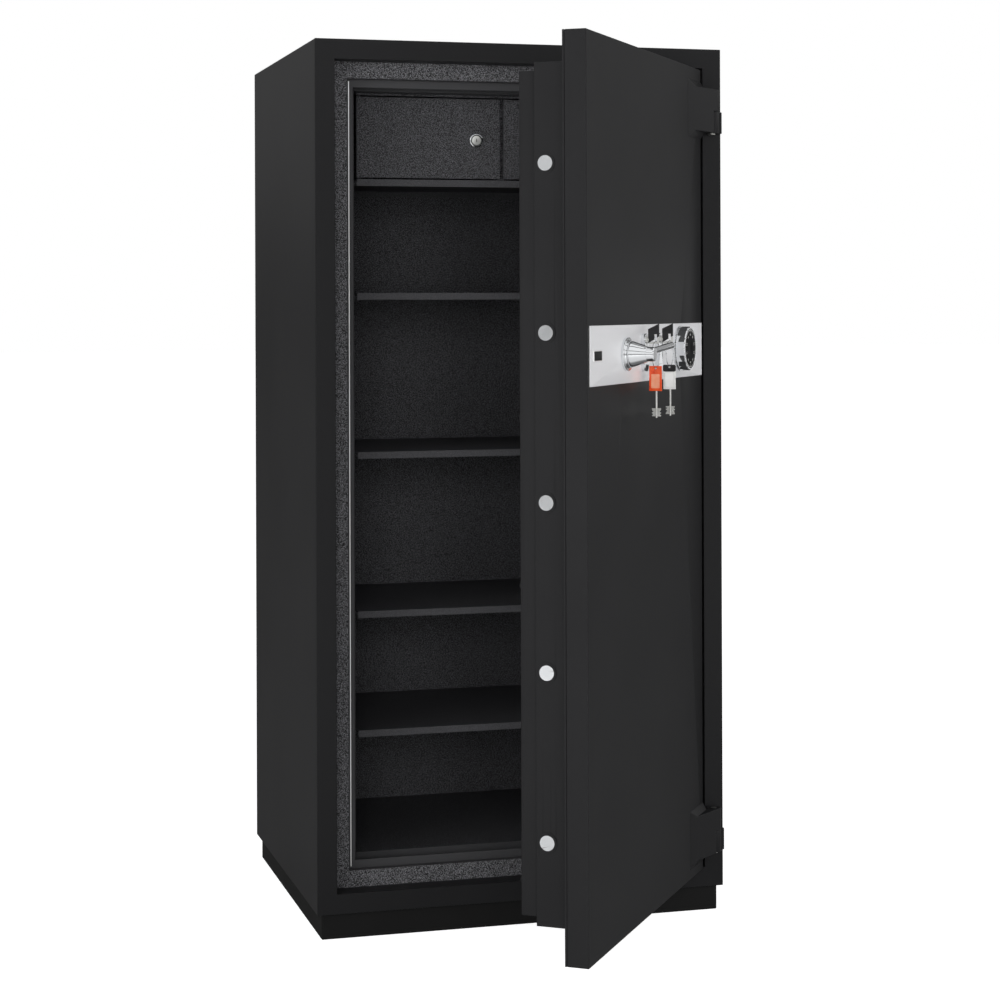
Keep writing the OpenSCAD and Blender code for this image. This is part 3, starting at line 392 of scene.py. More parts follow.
def metals(look):
    """Plated, brushed and turned metals."""
    return {
        # Even pale grey with a soft shine
        "zinc": plated("Bright zinc plated steel", "#b8b8b4", rough=0.32),
        # Fine brushed and clear lacquered, so that it scatters light almost like paint
        "plate": plated("Brushed stainless steel", look.plate_colour, rough=0.5, wear=0.05, metal=0.5,
                        grain=0.01),
        # Ground edges, near white in their own colour so that they show as white lines: partly bare metal, partly
        # a painted highlight
        "edge": plated("Bright stainless edge", "#f6f6f6", rough=0.35, metal=0.5),
        # Mirrors the room almost sharply
        "chrome": plated("Polished chrome", "#e4e6e8", rough=0.06, wear=0.03),
        # Mirrors the room in soft bands
        "bolt": plated("Satin chrome plated bolt", "#dcdee0", rough=0.2, wear=0.05),
        # Warm yellow with a soft shine
        "brass": plated("Turned brass", "#c9a45a", rough=0.25),
        # Pale and a little milky
        "steel": plated("Nickel plated key steel", "#e2e2de", rough=0.3, metal=0.55),
    }


def plastics():
    """Plastics and enamels of dial, keys and tags."""
    return {
        # Deep black, with little glare
        "badge": moulded("Black enamel badge", "#0a0a0b", "#0e0e0f", rough=0.4, shine=0.15),
        # Dull black, on which the marks stand out
        "black": moulded("Black dial plastic", "#0b0b0c", "#121213", rough=0.55, shine=0.08),
        # Soft black with a low gloss
        "bow": moulded("Black key bow plastic", "#161617", "#1e1e20", rough=0.4),
        # Opaque white
        "mark": moulded("White dial paint", "#e8e8e6", "#f0f0ee", rough=0.5),
        # Bright orange under a clear gloss
        "tag_orange": moulded("Orange tag plastic", "#e8481a", "#f2602a", rough=0.3, coat=0.2),
        # Paler than the tag and without gloss
        "tag_label": moulded("Pale orange blank label", "#f39a76", "#f7ab8a", rough=0.45),
        # White under a clear gloss
        "tag_white": moulded("White tag plastic", "#e6e6e4", "#f0f0ee", rough=0.3, coat=0.2),
        # Paper white without gloss
        "card": moulded("White blank label", "#f4f4f2", "#fbfbf9", rough=0.55),
    }


# Looks of CAD nodes whose material isn't the one named like their slot
NODE_LOOK = {
    "door_frame": "frame", "bolt_channel": "lip", "shelf_1": "shelf", "shelf_2": "shelf",
    "shelf_3": "shelf", "shelf_4": "shelf", "locker_floor": "shelf", "key_1": "steel", "key_2": "steel",
}
# Radius of the rounded edges of CAD nodes, mm
EDGES_MM = {
    "outer_casing": 1.6, "plinth": 2.0, "door_frame": 0.8, "bolt_channel": 0.7, "inner_liner": 0.6,
    "door_skin": 1.6, "door_back_plate": 1.0, "bolt_case": 1.5, "inner_cover": 2.0, "hinge_knuckles": 1.0,
    "hinge_leaves": 1.0, "lock_plate": 0.4, "badge": 0.3, "locking_bolts": 1.4, "shelf_1": 0.5,
    "shelf_2": 0.5, "shelf_3": 0.5, "shelf_4": 0.5, "locker_floor": 0.5, "locker_door_left": 0.8,
    "locker_door_right": 0.8, "locker_divider": 0.5, "key_escutcheons": 0.9, "handle_rose": 0.7,
    "handle_hub": 0.5, "dial_knob": 0.35, "dial_ring": 0.5, "cover_screws": 0.4, "key_tag_1": 0.4,
    "key_tag_2": 0.4, "locker_lock_left": 0.6, "locker_lock_right": 0.6,
}
# Sheets and plates, whose faces stay flat beside the rounded edges
FLAT_NODES = {
    "outer_casing", "plinth", "door_frame", "bolt_channel", "inner_liner", "door_skin", "door_back_plate",
    "bolt_case", "inner_cover", "lock_plate", "badge", "shelf_1", "shelf_2", "shelf_3", "shelf_4",
    "locker_divider", "key_tag_1", "key_tag_2",
}


# Properties


def colour_prop(name, description, default):
    """A property that holds a colour as #rrggbb."""
    return bpy.props.StringProperty(name=name, description=description, default=default)


def length_prop(name, description, millimetres, most):
    """A property that holds a length, given in millimetres."""
    return bpy.props.FloatProperty(name=name, description=description, unit="LENGTH",
                                   default=millimetres * MM, min=0.1 * MM, max=most * MM)


def level_prop(name, description, default, most, unit="NONE"):
    """A property that holds a strength of light or the power of a lamp."""
    return bpy.props.FloatProperty(name=name, description=description, unit=unit, default=default, min=0.0,
                                   max=most)


class SafeLook(bpy.types.PropertyGroup):
    """Colours and surface of the paints and the plate"""

    paint_low: colour_prop("Paint, dark", "Darker tone of the satin paint", "#1f1f20")
    paint_high: colour_prop("Paint, light", "Lighter tone of the satin paint", "#232324")
    paint_rough: bpy.props.FloatProperty(name="Paint roughness", description="Roughness of the satin paint",
                                         default=0.44, min=0.1, max=1.0, subtype="FACTOR")
    coat_low: colour_prop("Coat, hollows", "Powder coat between the grains", "#252526")
    # The colour on the grains is a painted glint: it stands for the highlight on each grain's top
    coat_painted_glint: colour_prop("Coat, grains", "Powder coat on the grains", "#727276")
    seat_low: colour_prop("Seat, hollows", "Frame coat between the grains", "#272728")
    # The seat's colour on the grains is a painted glint as well, lighter than the coat's
    seat_painted_glint: colour_prop("Seat, grains", "Frame coat on the grains", "#8c8c90")
    flange: colour_prop("Flange", "Plain tone of the frame's flange and reveal", "#1d1d1e")
    seat_depth: length_prop("Seat depth", "Depth at which the grained seat begins", 44.5, 100)
    grain_mm: bpy.props.FloatProperty(name="Grain size", description="Size of a grain of the coat, mm",
                                      default=1.6, min=0.5, max=10.0)
    plate_colour: colour_prop("Lock plate", "Colour of the brushed plate", "#f6f6f8")


class SafeSizes(bpy.types.PropertyGroup):
    """Sizes of the small pieces that a user would change"""

    tick_count: bpy.props.IntProperty(name="Dial marks", description="Marks round the dial", default=100,
                                      min=10, max=200)
    tick_width: length_prop("Mark width", "Width of a dial mark", 0.4, 2)
    flute_count: bpy.props.IntProperty(name="Flutes", description="Grip flutes round the dial", default=20,
                                       min=6, max=60)
    flute_depth: length_prop("Flute depth", "Depth of a grip flute of the dial", 1.25, 3)
    rim_width: length_prop("Plate rim", "Width of the plate's bright rim", 1.4, 4)
    # The strip along the lip is partly a painted highlight of the lip's edge
    strip_width: length_prop("Lip strip", "Width of the bare strip along the channel's lip", 1.8, 6)
    notch: length_prop("Bit notch", "Depth of the cuts in a spare key's bits", 2.6, 5)


class SafeStage(bpy.types.PropertyGroup):
    """Levels of the light"""

    world: level_prop("World level", "Strength of the even white light", 0.31, 3.0)
    behind: level_prop("Mirrored back", "What glossy faces mirror from behind", 0.34, 3.0)
    ahead: level_prop("Mirrored front", "What glossy faces mirror from the front", 1.0, 3.0)
    floor: level_prop("Floor level", "Own light of the floor as the camera sees it", 0.82, 2.0)
    left: level_prop("Left lamp", "Power of the left soft box", 116.0, 2000.0, "POWER")
    right: level_prop("Right lamp", "Power of the right soft box", 58.0, 2000.0, "POWER")
    front: level_prop("Front lamp", "Power of the soft box at the camera", 128.0, 2000.0, "POWER")
    card: level_prop("Back card", "Power of the card that lever and door mirror", 0.9, 200.0, "POWER")


# Operators


class SAFE_OT_finish(bpy.types.Operator):
    """Gives every CAD node its material, and rounds the edges of those listed in EDGES_MM"""

    bl_idname = "safe.finish"
    bl_label = "Paint and plating"

    def execute(self, context):
        look = context.scene.safe_look
        MATERIALS.update(paints(look) | metals(look) | plastics())
        slots = {s["node"]: s["material_slot"] for s in frame["record"]["subparts"]}
        for node, obj in NODES.items():
            obj.data.materials.clear()
            obj.data.materials.append(MATERIALS[NODE_LOOK.get(node, slots[node])])
            if node in EDGES_MM:
                round_edges(obj, EDGES_MM[node] * MM, harden=node in FLAT_NODES)
        return {"FINISHED"}


class SAFE_OT_rims(bpy.types.Operator):
    """Bright rims of the lock plate and of the badge, whose near-white colour is partly a painted highlight of
    their edges
    """

    bl_idname = "safe.rims"
    bl_label = "Plate and badge rims"

    def execute(self, context):
        rim = context.scene.safe_sizes.rim_width
        self.rim("lock_plate", outside=0.15 * MM, inside=rim, radii=(0.6 * MM, 0.3 * MM),
                 back=0.1 * MM, drop=0.7 * MM, rise=0.12 * MM)
        self.rim("badge", outside=1.2 * MM, inside=0.4 * MM, radii=(1.2 * MM, 0.6 * MM),
                 back=0.0, drop=0.6 * MM, rise=0.25 * MM)
        return {"FINISHED"}

    def rim(self, node, outside, inside, radii, back, drop, rise):
        """Band round a plate's edge, from a drop below its front outside to a rise above it inside."""
        low, high, centre = door_extent(node)
        width, _, height = high - low
        outer = rounded_rect(width + 2 * outside, height + 2 * outside, radii[0])
        inner = rounded_rect(width - 2 * inside, height - 2 * inside, radii[1])
        shell = hoop(outer, inner, centre, low[1] + back, high[1] - drop, high[1] + rise, on_door)
        piece(node + "_rim", shell, "door", "edge")


class SAFE_OT_strip(bpy.types.Operator):
    """Narrow near-white strip along the lip that the bolts pass behind: partly bare metal, partly a painted
    highlight along the lip's edge
    """

    bl_idname = "safe.strip"
    bl_label = "Strip of the lip"

    # Depth of the lip's face, distances of the strip from the channel's side and ends, and its thickness
    LIP_DEPTH = 63 * MM
    SIDE_IN = 30.5 * MM
    END_IN = 27 * MM
    THICK = 0.4 * MM
    SUNK = 0.1 * MM

    def execute(self, context):
        low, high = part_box("bolt_channel")
        width, height = context.scene.safe_sizes.strip_width, high.z - low.z - 2 * self.END_IN
        outline = rounded_rect(width, height, 0.4 * MM)
        centre = (low.x + self.SIDE_IN, (low.z + high.z) / 2)
        shell = plate(outline, centre, -self.LIP_DEPTH - self.SUNK, -self.LIP_DEPTH + self.THICK, on_body)
        # The strip's near-white colour stands partly for bare metal and partly for a painted highlight of the
        # lip's edge
        piece("lip_strip", shell, "body", "edge")
        return {"FINISHED"}


class SAFE_OT_dial(bpy.types.Operator):
    """Fluted sleeve of the dial, its black face with white marks, and the index on its ring"""

    bl_idname = "safe.dial"
    bl_label = "Dial sleeve, face and marks"

    # Face: radius, how far its back lies behind the knob's front, thickness, and bevel of its edge
    FACE_R = 38.3 * MM
    FACE_IN = 1.0 * MM
    FACE_THICK = 0.6 * MM
    FACE_BEVEL = 0.5 * MM
    # Dish in its middle: radii of its brim and floor, level of its floor, and rise of the face towards it
    DISH_R, DISH_FLOOR_R = 9 * MM, 8 * MM
    DISH_LEVEL = 0.45 * MM
    CROWN = 0.1 * MM
    # Lengths of tenth, fifth and single marks, distance from the face's edge, depth in it and thickness
    LONG, MIDDLE, SHORT = 6.0 * MM, 4.0 * MM, 2.4 * MM
    MARK_IN = 1.2 * MM
    MARK_SUNK = 0.04 * MM
    MARK_THICK = 0.2 * MM
    # Pairs of short bars inside the tenth marks
    PAIRS = 10
    BAR_R = 25 * MM
    BAR_LONG = 3.6 * MM
    BAR_HALF = 0.5 * MM
    BAR_ASIDE = 1.7 * MM
    BAR_THICK = 0.22 * MM
    # Steps across a flute, and how far the sleeve lies in and out of the knob's radius
    STEPS = 14
    SLEEVE_IN = 1.0 * MM
    SLEEVE_OUT = 1.4 * MM
    # How far the sleeve stays within the knob's back and front
    SLEEVE_BACK = 1.5 * MM
    SLEEVE_FRONT = 0.7 * MM

    def execute(self, context):
        low, high, centre = door_extent("dial_knob")
        sizes = context.scene.safe_sizes
        front, knob_r = high[1] - self.FACE_IN, (high[0] - low[0]) / 2
        self.sleeve(sizes, centre, knob_r, low[1] + self.SLEEVE_BACK, high[1] - self.SLEEVE_FRONT)
        self.face(centre, front)
        self.marks(sizes, centre, front + self.FACE_THICK - self.MARK_SUNK)
        self.index(centre)
        return {"FINISHED"}

    def sleeve(self, sizes, centre, knob_r, back, front):
        """Broad grip flutes: r = ridge - depth (1 - u^2), u in [-1, 1] across each flute."""
        n = np.arange(sizes.flute_count * self.STEPS)
        t = 2 * math.pi * n / len(n)
        u = 2 * (n % self.STEPS) / self.STEPS - 1
        hollow = sizes.flute_depth * (1 - u * u)
        inner, ridge, chamfer = knob_r - self.SLEEVE_IN, knob_r + self.SLEEVE_OUT, 1.0 * MM
        # Radius, out, and how much of the flute is cut there
        profile = np.array([
            (inner, back, 0), (ridge, back, 1), (ridge, front - chamfer, 1), (ridge - chamfer, front, 1),
            (inner, front, 0),
        ])
        r = profile[:, :1] - hollow * profile[:, 2:]
        rings = np.stack([centre[0] + r * np.cos(t), profile[:, 1:2] + 0 * t, centre[1] + r * np.sin(t)], -1)
        piece("dial_sleeve", tube(on_door(rings), closed=True), "dial", "chrome")

    def face(self, centre, front):
        """Black disc with a bevelled edge and a shallow dish in its middle."""
        r, floor, top = self.FACE_R, front + self.DISH_LEVEL, front + self.FACE_THICK
        profile = [
            (0, front), (r, front), (r, floor), (r - self.FACE_BEVEL, top),
            (self.DISH_R, top + self.CROWN), (self.DISH_FLOOR_R, floor), (0, floor),
        ]
        piece("dial_face", revolve(profile, centre, on_door), "dial", "black")

    def bar(self, centre, turn, inner, outer, half, low, high, aside=0.0):
        """Flat radial bar from r = inner to outer at a turn from the top, set aside from its radius."""
        along = np.array([math.sin(turn), math.cos(turn)])
        across = np.array([math.cos(turn), -math.sin(turn)])
        corners = ((-half, inner), (half, inner), (half, outer), (-half, outer))
        return plate([(aside + u) * across + r * along for u, r in corners], centre, low, high, on_door)

    def marks(self, sizes, centre, low):
        """Marks round the face, longer at each fifth and tenth, with two short bars at each tenth."""
        outer, half = self.FACE_R - self.MARK_IN, sizes.tick_width / 2
        shells = []
        for k in range(sizes.tick_count):
            long = self.LONG if k % 10 == 0 else self.MIDDLE if k % 5 == 0 else self.SHORT
            turn = 2 * math.pi * k / sizes.tick_count
            shells.append(self.bar(centre, turn, outer - long, outer, half, low, low + self.MARK_THICK))
        for k in range(self.PAIRS):
            for side in (-1, 1):
                shells.append(self.bar(centre, 2 * math.pi * k / self.PAIRS, self.BAR_R,
                                       self.BAR_R + self.BAR_LONG, self.BAR_HALF, low,
                                       low + self.BAR_THICK, side * self.BAR_ASIDE))
        piece("dial_marks", join(*shells), "dial", "mark")

    def index(self, centre):
        """Black triangle on the ring, pointing at the top of the dial."""
        low, high, _ = door_extent("dial_ring")
        ring_r = (high[0] - low[0]) / 2
        tip, foot, half = ring_r - 4.5 * MM, ring_r - 0.8 * MM, 1.6 * MM
        back, front = high[1] - 0.3 * MM, high[1] + 0.15 * MM
        shell = plate([(0, tip), (half, foot), (-half, foot)], centre, back, front, on_door)
        piece("dial_index", shell, "door", "black")


class SAFE_OT_locker_locks(bpy.types.Operator):
    """Turned faces of the two locker locks, with a black plate on each plug as painted shade for its keyway"""

    bl_idname = "safe.locker_locks"
    bl_label = "Locker lock faces"

    # Profiles as (radius, out) in mm: the rim's radius counts from the lock's edge inwards
    RIM = ((3, -0.5), (0.6, -0.5), (0.6, 0.4), (1.4, 0.9), (2.4, 0.9), (3, 0.3), (3, -0.5))
    PLUG = ((0, -0.5), (5.6, -0.5), (5.6, 0.1), (9.4, 0.1), (9.4, 0.5), (8.8, 0.8), (0, 0.8))
    KEYWAY_W, KEYWAY_H, KEYWAY_R = 1.3 * MM, 7 * MM, 0.5 * MM
    KEYWAY_BACK, KEYWAY_FRONT = 0.5 * MM, 0.87 * MM

    def execute(self, context):
        keyway = rounded_rect(self.KEYWAY_W, self.KEYWAY_H, self.KEYWAY_R)
        for side in ("left", "right"):
            low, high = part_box("locker_lock_" + side)
            centre = ((low.x + high.x) / 2, (low.z + high.z) / 2)
            front, edge_r = FRONT_Y - low.y, (high.x - low.x) / 2
            door, cam = f"locker_{side}", f"locker_cam_{side}"
            rim = [(edge_r - r * MM, front + out * MM) for r, out in self.RIM]
            plug = [(r * MM, front + out * MM) for r, out in self.PLUG]
            piece(f"locker_lock_rim_{side}", revolve(rim, centre, on_body), door, "chrome")
            piece(f"locker_plug_{side}", revolve(plug, centre, on_body, count=48), cam, "steel")
            # Black plate a little proud of the plug: painted shade that stands for the dark keyway slot
            shell = plate(keyway, centre, front + self.KEYWAY_BACK, front + self.KEYWAY_FRONT, on_body)
            piece(f"locker_keyway_{side}", shell, cam, "black")
        return {"FINISHED"}


class SAFE_OT_keys(bpy.types.Operator):
    """Dark plastic bows of the keys in the locks, and the spare keys with their cut bits"""

    bl_idname = "safe.keys"
    bl_label = "Keys"

    # Plastic outside the steel bow, half its thickness across, and the steel bow's length and heights
    SKIN = 0.35 * MM
    SKIN_HALF = 1.9 * MM
    LONG = 20 * MM
    NEAR_LOW = -5.5 * MM
    FAR_HIGH = 23 * MM
    NEAR_DROP = 10 * MM
    # Slot for the ring, from the bow's end and up from the key's axis
    SLOT_FROM, SLOT_TO, SLOT_TOP = 8.5 * MM, 3.5 * MM, 10.5 * MM
    # Spare key's bow, the share by which it narrows at its lower end, and its hole for the ring
    BOW_W, BOW_H, BOW_HALF, BOW_R = 20 * MM, 26 * MM, 1.25 * MM, 7 * MM
    BOW_TAPER = 0.28
    HOLE_R, HOLE_UP = 2.2 * MM, 9 * MM
    # Spare key's shaft as (distance from the bow's top, radius) in mm, down to the tip
    SHAFT = ((22, 2.6), (27.5, 2.6), (28, 3.6), (31, 3.6), (31.5, 1.8))
    TIP = 1 * MM
    TIP_R, ROD_R = 1.3 * MM, 1.8 * MM
    # Reach of each step of the bits in mm, per key
    BITS = {1: (8.5, 6.0, 8.5, 5.2, 7.4, 8.5), 2: (8.5, 7.2, 5.2, 8.5, 6.0, 8.5)}
    BIT_REACH, BIT_CUT = 8.5, 3.3
    BITS_UP, BITS_H, BITS_HALF = 3 * MM, 15 * MM, 1.3 * MM

    def execute(self, context):
        for k in (1, 2):
            self.bow(k)
            self.spare(k, context.scene.safe_sizes.notch)
        return {"FINISHED"}

    def bow(self, k):
        """Plate over the steel bow, open where the ring hangs and swings."""
        low, high, (x, _) = door_extent(f"key_{k}")
        pivot = JOINTS[f"key_{k}_turn"]["pos_m"][2]
        end, first, top = high[1], high[1] - self.LONG, high[2] - pivot
        near, far = self.NEAR_LOW - self.SKIN, top - self.FAR_HIGH - self.SKIN
        slot_low, slot_high = end - self.SLOT_FROM, end - self.SLOT_TO

        def lower(out):
            return near + (far - near) * (out - first) / self.LONG

        outline = [
            (first - self.SKIN, near), (slot_low, lower(slot_low)), (slot_low, self.SLOT_TOP),
            (slot_high, self.SLOT_TOP), (slot_high, lower(slot_high)), (end + self.SKIN, far),
            (end + self.SKIN, top + self.SKIN), (first - self.SKIN, top - self.NEAR_DROP + self.SKIN),
        ]
        shell = plate(outline, (0, pivot), x - self.SKIN_HALF, x + self.SKIN_HALF, on_door, axis="x")
        piece(f"key_bow_{k}", shell, f"key_{k}", "bow", bevel=0.5 * MM)

    def spare(self, k, notch):
        """Spare key of head, shaft and bits, which stands for its CAD node."""
        node = f"spare_key_{k}"
        low, high, (x, _) = door_extent(node)
        out, tip, top = (low[1] + high[1]) / 2, low[2], high[2]
        shell = join(self.head(x, out, top), self.shaft(x, out, top, tip), self.bits(k, x, out, tip, notch))
        obj = piece(node + "_cut", shell, f"key_set_{k}", "steel", bevel=0.2 * MM)
        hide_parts(node)

    def head(self, x, out, top):
        """Rounded plate, narrower towards its lower end by a share of its width, with a round hole."""
        bow = rounded_rect(self.BOW_W, self.BOW_H, self.BOW_R, steps=10)
        down = np.maximum(-bow[:, 1], 0) / (self.BOW_H / 2)
        bow[:, 0] *= 1 - self.BOW_TAPER * down
        hole = circle(self.HOLE_R, len(bow), math.pi / 40) + (0, self.HOLE_UP)
        centre = (out, top - self.BOW_H / 2)
        return holed_plate(bow, hole, centre, x - self.BOW_HALF, x + self.BOW_HALF, on_door)

    def shaft(self, x, out, top, tip):
        """Turned shaft with a collar and a narrow tip."""
        steps = [(top - down * MM, r * MM) for down, r in self.SHAFT]
        z, r = np.array(steps + [(tip + self.TIP, self.ROD_R), (tip, self.TIP_R)]).T[..., None]
        t = np.linspace(0, 2 * math.pi, 24, endpoint=False)
        return tube(on_door(np.stack([x + r * np.cos(t), out + r * np.sin(t), z + 0 * t], -1)))

    def bits(self, k, x, out, tip, notch):
        """Plate with stepped edges, the same on both sides: each step stands back by its share of a notch."""
        steps = np.array(self.BITS[k])
        reach = self.BIT_REACH * MM - (self.BIT_REACH - steps) / self.BIT_CUT * notch
        edges = tip + self.BITS_UP + np.linspace(0, self.BITS_H, len(steps) + 1)
        right = [(d, z) for i, d in enumerate(reach) for z in (edges[i], edges[i + 1])]
        left = [(-d, z) for d, z in reversed(right)]
        return plate(right + left, (out, 0), x - self.BITS_HALF, x + self.BITS_HALF, on_door, axis="x")


class SAFE_OT_tags(bpy.types.Operator):
    """Blank labels and rims of the key tags, and the black top of the white one"""

    bl_idname = "safe.tags"
    bl_label = "Key tags"

    LABEL_W, LABEL_H, LABEL_DOWN, LABEL_OUT = 16 * MM, 26 * MM, 5 * MM, 0.15 * MM
    RIM_W, RIM_H, RIM_ASIDE, RIM_OUT = 1.6 * MM, 31 * MM, 10 * MM, 0.5 * MM
    CAP_W, CAP_H, CAP_OUT = 24.6 * MM, 13 * MM, 0.35 * MM
    HOLE_R, HOLE_UP = 2.25 * MM, 2.5 * MM

    def execute(self, context):
        for k, slot, label in ((1, "tag_orange", "tag_label"), (2, "tag_white", "card")):
            low, high, (_, mid) = door_extent(f"key_tag_{k}")
            out, mid = (low[1] + high[1]) / 2, mid - self.LABEL_DOWN
            body = f"key_set_{k}"
            outline = rounded_rect(self.LABEL_W, self.LABEL_H, 1.5 * MM)
            shell = plate(outline, (out, mid), low[0] - self.LABEL_OUT, high[0] + self.LABEL_OUT,
                          on_door, "x")
            piece(f"tag_label_{k}", shell, body, label)
            for side, aside in (("a", -self.RIM_ASIDE), ("b", self.RIM_ASIDE)):
                outline = rounded_rect(self.RIM_W, self.RIM_H, 0.7 * MM)
                shell = plate(outline, (out + aside, mid), low[0] - self.RIM_OUT, high[0] + self.RIM_OUT,
                              on_door, "x")
                piece(f"tag_rim_{k}_{side}", shell, body, slot)
        self.cap()
        return {"FINISHED"}

    def cap(self):
        """Black top of the white tag, with the hole for the ring."""
        low, high, _ = door_extent("key_tag_2")
        outline = rounded_rect(self.CAP_W, self.CAP_H, 3 * MM, 8)
        hole = circle(self.HOLE_R, len(outline)) + (0, self.HOLE_UP)
        centre = ((low[1] + high[1]) / 2, high[2] - self.CAP_H / 2)
        shell = holed_plate(outline, hole, centre, low[0] - self.CAP_OUT, high[0] + self.CAP_OUT, on_door)
        piece("tag_cap_2", shell, "key_set_2", "bow")


class SAFE_OT_screws(bpy.types.Operator):
    """Black crosses on the screws of the inner cover: painted shade that stands for their cross recesses"""

    bl_idname = "safe.screws"
    bl_label = "Screw recesses"

    # Grid that keeps the screw heads apart, and how far a head reaches from its grid point
    GRID = 0.05
    REACH = 0.04
    # What counts as a head's face, the arms of the cross, and their levels from that face
    FACE_DEPTH = 0.1 * MM
    ARM_LONG, ARM_WIDE, ARM_R = 5.5 * MM, 1.1 * MM, 0.3 * MM
    ARM_BACK, ARM_IN = 0.06 * MM, 0.2 * MM

    def execute(self, context):
        points = door_points("cover_screws")
        out = points[:, 1].min()
        heads = points[points[:, 1] < out + self.FACE_DEPTH][:, [0, 2]]
        arms = [rounded_rect(w, h, self.ARM_R, steps=3)
                for w, h in ((self.ARM_LONG, self.ARM_WIDE), (self.ARM_WIDE, self.ARM_LONG))]
        shells = []
        for cell in np.unique(np.round(heads / self.GRID).astype(int), axis=0):
            near = heads[(np.abs(heads - cell * self.GRID) < self.REACH).all(1)]
            centre = (near.min(0) + near.max(0)) / 2
            for arm in arms:
                shells.append(plate(arm, centre, out - self.ARM_BACK, out + self.ARM_IN, on_door))
        # Black crosses standing a little proud of the heads: painted shade in place of real recesses
        piece("screw_recesses", join(*shells), "door", "black")
        return {"FINISHED"}


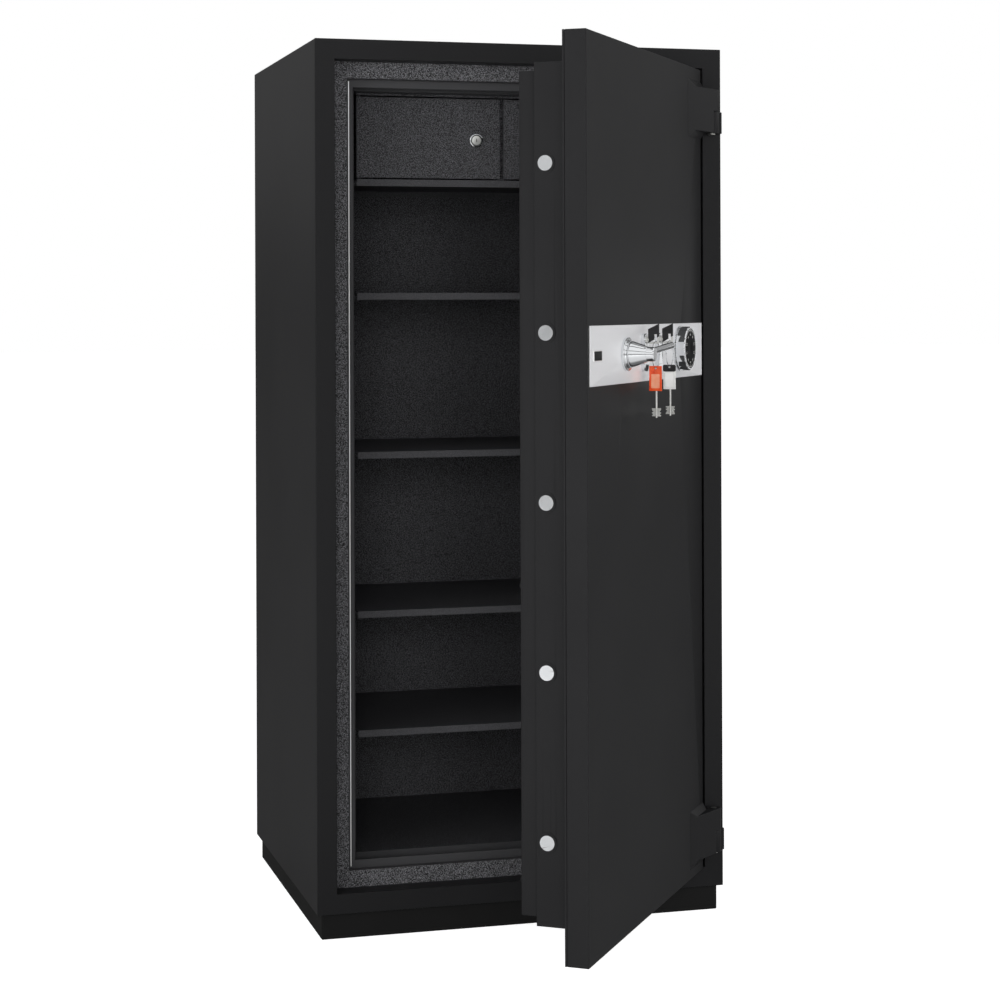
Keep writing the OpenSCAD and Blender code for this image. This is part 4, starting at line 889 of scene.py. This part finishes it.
class SAFE_OT_stage(bpy.types.Operator):
    """White floor and world, soft boxes and the camera"""

    bl_idname = "safe.stage"
    bl_label = "Stage"

    FLOOR_HALF = 60.0
    FLOOR_DOWN = 0.2 * MM
    # Y at which the mirrored floor turns from grey behind to pale in front, and its glow there
    FLOOR_TURN = (-0.9, -1.3)
    FLOOR_GLOW = 0.35
    # Seams between the bright panels, as sines of their lowest and highest elevation, and their level
    SEAMS = ((-0.05, 0.045), (0.44, 0.53), (0.925, 0.965))
    SEAM_LEVEL = 0.12
    # Share of a seam's half width that is fully dark
    SEAM_CORE = 0.8
    # Y of the incoming vector over which the mirrored back turns into the front
    SIDE = (-0.35, -0.05)
    # Name, property of its power, place and target, width and height, and whether glossy faces mirror it
    LAMPS = (
        ("Left soft box", "left", (-3.9, -3.1, 1.1), (-0.3, -0.8, 1.0), 3.0, 3.0, False),
        ("Back card", "card", (3.1, 2.05, 1.17), (0.2, -0.3, 1.2), 0.9, 0.4, True),
        ("Right soft box", "right", (3.3, -3.4, 1.25), (0.1, -0.8, 0.95), 2.4, 2.4, False),
        ("Front soft box", "front", (-1.6, -6.4, 1.7), (-0.1, 0.0, 0.9), 2.0, 2.0, False),
    )
    EYE = (-1.2534, -4.6615, 1.2262)
    # Turns of the camera about Z, X and its own view, in degrees, and its lens and sensor in mm
    YAW, PITCH, ROLL = -15.63, 90.08, -0.19
    LENS, SENSOR, SHIFT_Y = 81.32, 36.0, -0.1954

    def execute(self, context):
        stage = context.scene.safe_stage
        self.floor(stage)
        self.world(stage)
        for lamp in self.LAMPS:
            self.lamp(stage, *lamp)
        self.camera()
        context.scene.view_settings.view_transform = "Standard"
        return {"FINISHED"}

    def floor(self, stage):
        """White floor that lights up for the camera, with its own grey for glossy rays."""
        mesh = bpy.data.meshes.new("Floor")
        r = self.FLOOR_HALF
        mesh.from_pydata([(-r, -r, 0), (r, -r, 0), (r, r, 0), (-r, r, 0)], [], [(0, 1, 2, 3)])
        obj = bpy.data.objects.new("Floor", mesh)
        obj.location.z = -self.FLOOR_DOWN
        bpy.context.scene.collection.objects.link(obj)
        mat, tree, shader, coords = start("White studio floor")
        path = add(tree, "LightPath")
        y = add(tree, "SeparateXYZ", {"Vector": coords})["Y"]
        behind, ahead = self.FLOOR_TURN
        near = add(tree, "MapRange", {"Value": y, "From Min": behind, "From Max": ahead})["Result"]
        mirrored = add(tree, "Mix", {"Factor": near, "A": linear("#aaaaaa"), "B": linear("#d4d4d4")},
                       data_type="RGBA")["Result"]
        colour = add(tree, "Mix", {"Factor": path["Is Glossy Ray"], "A": linear("#f4f4f4"), "B": mirrored},
                     data_type="RGBA")["Result"]
        seen = add(tree, "Math", {0: path["Is Camera Ray"], 1: stage.floor}, operation="MULTIPLY")["Value"]
        shown = add(tree, "Math", {0: path["Is Glossy Ray"], 1: near}, operation="MULTIPLY")["Value"]
        glow = add(tree, "Math", {0: shown, 1: self.FLOOR_GLOW, 2: seen}, operation="MULTIPLY_ADD")["Value"]
        wire(tree, shader, {
            "Base Color": colour, "Roughness": 0.9, "Specular IOR Level": 0.1,
            "Emission Color": (1, 1, 1, 1), "Emission Strength": glow,
        })
        mesh.materials.append(mat)

    def world(self, stage):
        """White behind the safe; bright panels with dark seams in front of it, for glossy rays only."""
        world = bpy.data.worlds.new("Studio")
        world.use_nodes = True
        tree = world.node_tree
        ray = add(tree, "SeparateXYZ", {"Vector": add(tree, "NewGeometry")["Incoming"]})
        # The incoming vector points back along the ray, so +y is the front and -z is up
        behind, ahead = self.SIDE
        panels = add(tree, "MapRange", {
            "Value": ray["Y"], "From Min": behind, "From Max": ahead, "To Min": stage.behind,
            "To Max": stage.ahead,
        })["Result"]
        rise = add(tree, "Math", {0: ray["Z"], 1: -1.0}, operation="MULTIPLY")["Value"]
        for low, high in self.SEAMS:
            middle, half = (low + high) / 2, (high - low) / 2
            off = add(tree, "Math", {0: rise, 1: middle}, operation="SUBTRACT")["Value"]
            away = add(tree, "Math", {0: off}, operation="ABSOLUTE")["Value"]
            seam = add(tree, "MapRange", {
                "Value": away, "From Min": half * self.SEAM_CORE, "From Max": half,
                "To Min": self.SEAM_LEVEL,
            })["Result"]
            panels = add(tree, "Math", {0: panels, 1: seam}, operation="MULTIPLY")["Value"]
        path = add(tree, "LightPath")
        lit = add(tree, "Mix", {"Factor": path["Is Glossy Ray"], "A": stage.world, "B": panels},
                  data_type="FLOAT")["Result"]
        seen = add(tree, "Mix", {"Factor": path["Is Camera Ray"], "A": lit, "B": 1.0},
                   data_type="FLOAT")["Result"]
        wire(tree, tree.nodes["Background"], {"Color": (1, 1, 1, 1), "Strength": seen})
        bpy.context.scene.world = world

    def lamp(self, stage, name, power, place, target, width, height, mirrored):
        """One soft box."""
        data = bpy.data.lights.new(name, "AREA")
        data.shape = "RECTANGLE"
        data.size = width
        data.size_y = height
        data.energy = getattr(stage, power)
        obj = bpy.data.objects.new(name, data)
        obj.location = place
        obj.visible_glossy = mirrored
        direction = Vector(target) - Vector(place)
        obj.rotation_euler = direction.to_track_quat("-Z", "Y").to_euler()
        bpy.context.scene.collection.objects.link(obj)

    def camera(self):
        """Level camera at 1.23 m, with a shifted lens that keeps the uprights parallel."""
        data = bpy.data.cameras.new("Camera")
        data.lens = self.LENS
        data.sensor_width = self.SENSOR
        data.shift_y = self.SHIFT_Y
        obj = bpy.data.objects.new("Camera", data)
        turns = ((self.YAW, "Z"), (self.PITCH, "X"), (self.ROLL, "Z"))
        yaw, pitch, roll = [Matrix.Rotation(math.radians(angle), 4, axis) for angle, axis in turns]
        obj.matrix_world = Matrix.Translation(self.EYE) @ yaw @ pitch @ roll
        bpy.context.scene.collection.objects.link(obj)
        bpy.context.scene.camera = obj


OPERATORS = (
    SAFE_OT_finish, SAFE_OT_rims, SAFE_OT_strip, SAFE_OT_dial, SAFE_OT_locker_locks, SAFE_OT_keys,
    SAFE_OT_tags, SAFE_OT_screws, SAFE_OT_stage,
)
GROUPS = {"safe_look": SafeLook, "safe_sizes": SafeSizes, "safe_stage": SafeStage}


class SAFE_PT_panel(bpy.types.Panel):
    """Properties and operators of the safe in the sidebar"""

    bl_idname = "SAFE_PT_panel"
    bl_label = "Safe"
    bl_space_type = "VIEW_3D"
    bl_region_type = "UI"
    bl_category = "Safe"

    def draw(self, context):
        for key, group in GROUPS.items():
            column = self.layout.column()
            for name in group.__annotations__:
                column.prop(getattr(context.scene, key), name)
        for operator in OPERATORS:
            self.layout.operator(operator.bl_idname)


CLASSES = (*GROUPS.values(), *OPERATORS, SAFE_PT_panel)


def register():
    for c in CLASSES:
        bpy.utils.register_class(c)
    for key, group in GROUPS.items():
        setattr(bpy.types.Scene, key, bpy.props.PointerProperty(type=group))


def unregister():
    for key in GROUPS:
        delattr(bpy.types.Scene, key)
    for c in reversed(CLASSES):
        bpy.utils.unregister_class(c)


def main():
    register()
    bpy.ops.safe.finish()
    bpy.ops.safe.rims()
    bpy.ops.safe.strip()
    bpy.ops.safe.dial()
    bpy.ops.safe.locker_locks()
    bpy.ops.safe.keys()
    bpy.ops.safe.tags()
    bpy.ops.safe.screws()
    bpy.ops.safe.stage()


if __name__ == "__main__":
    main()
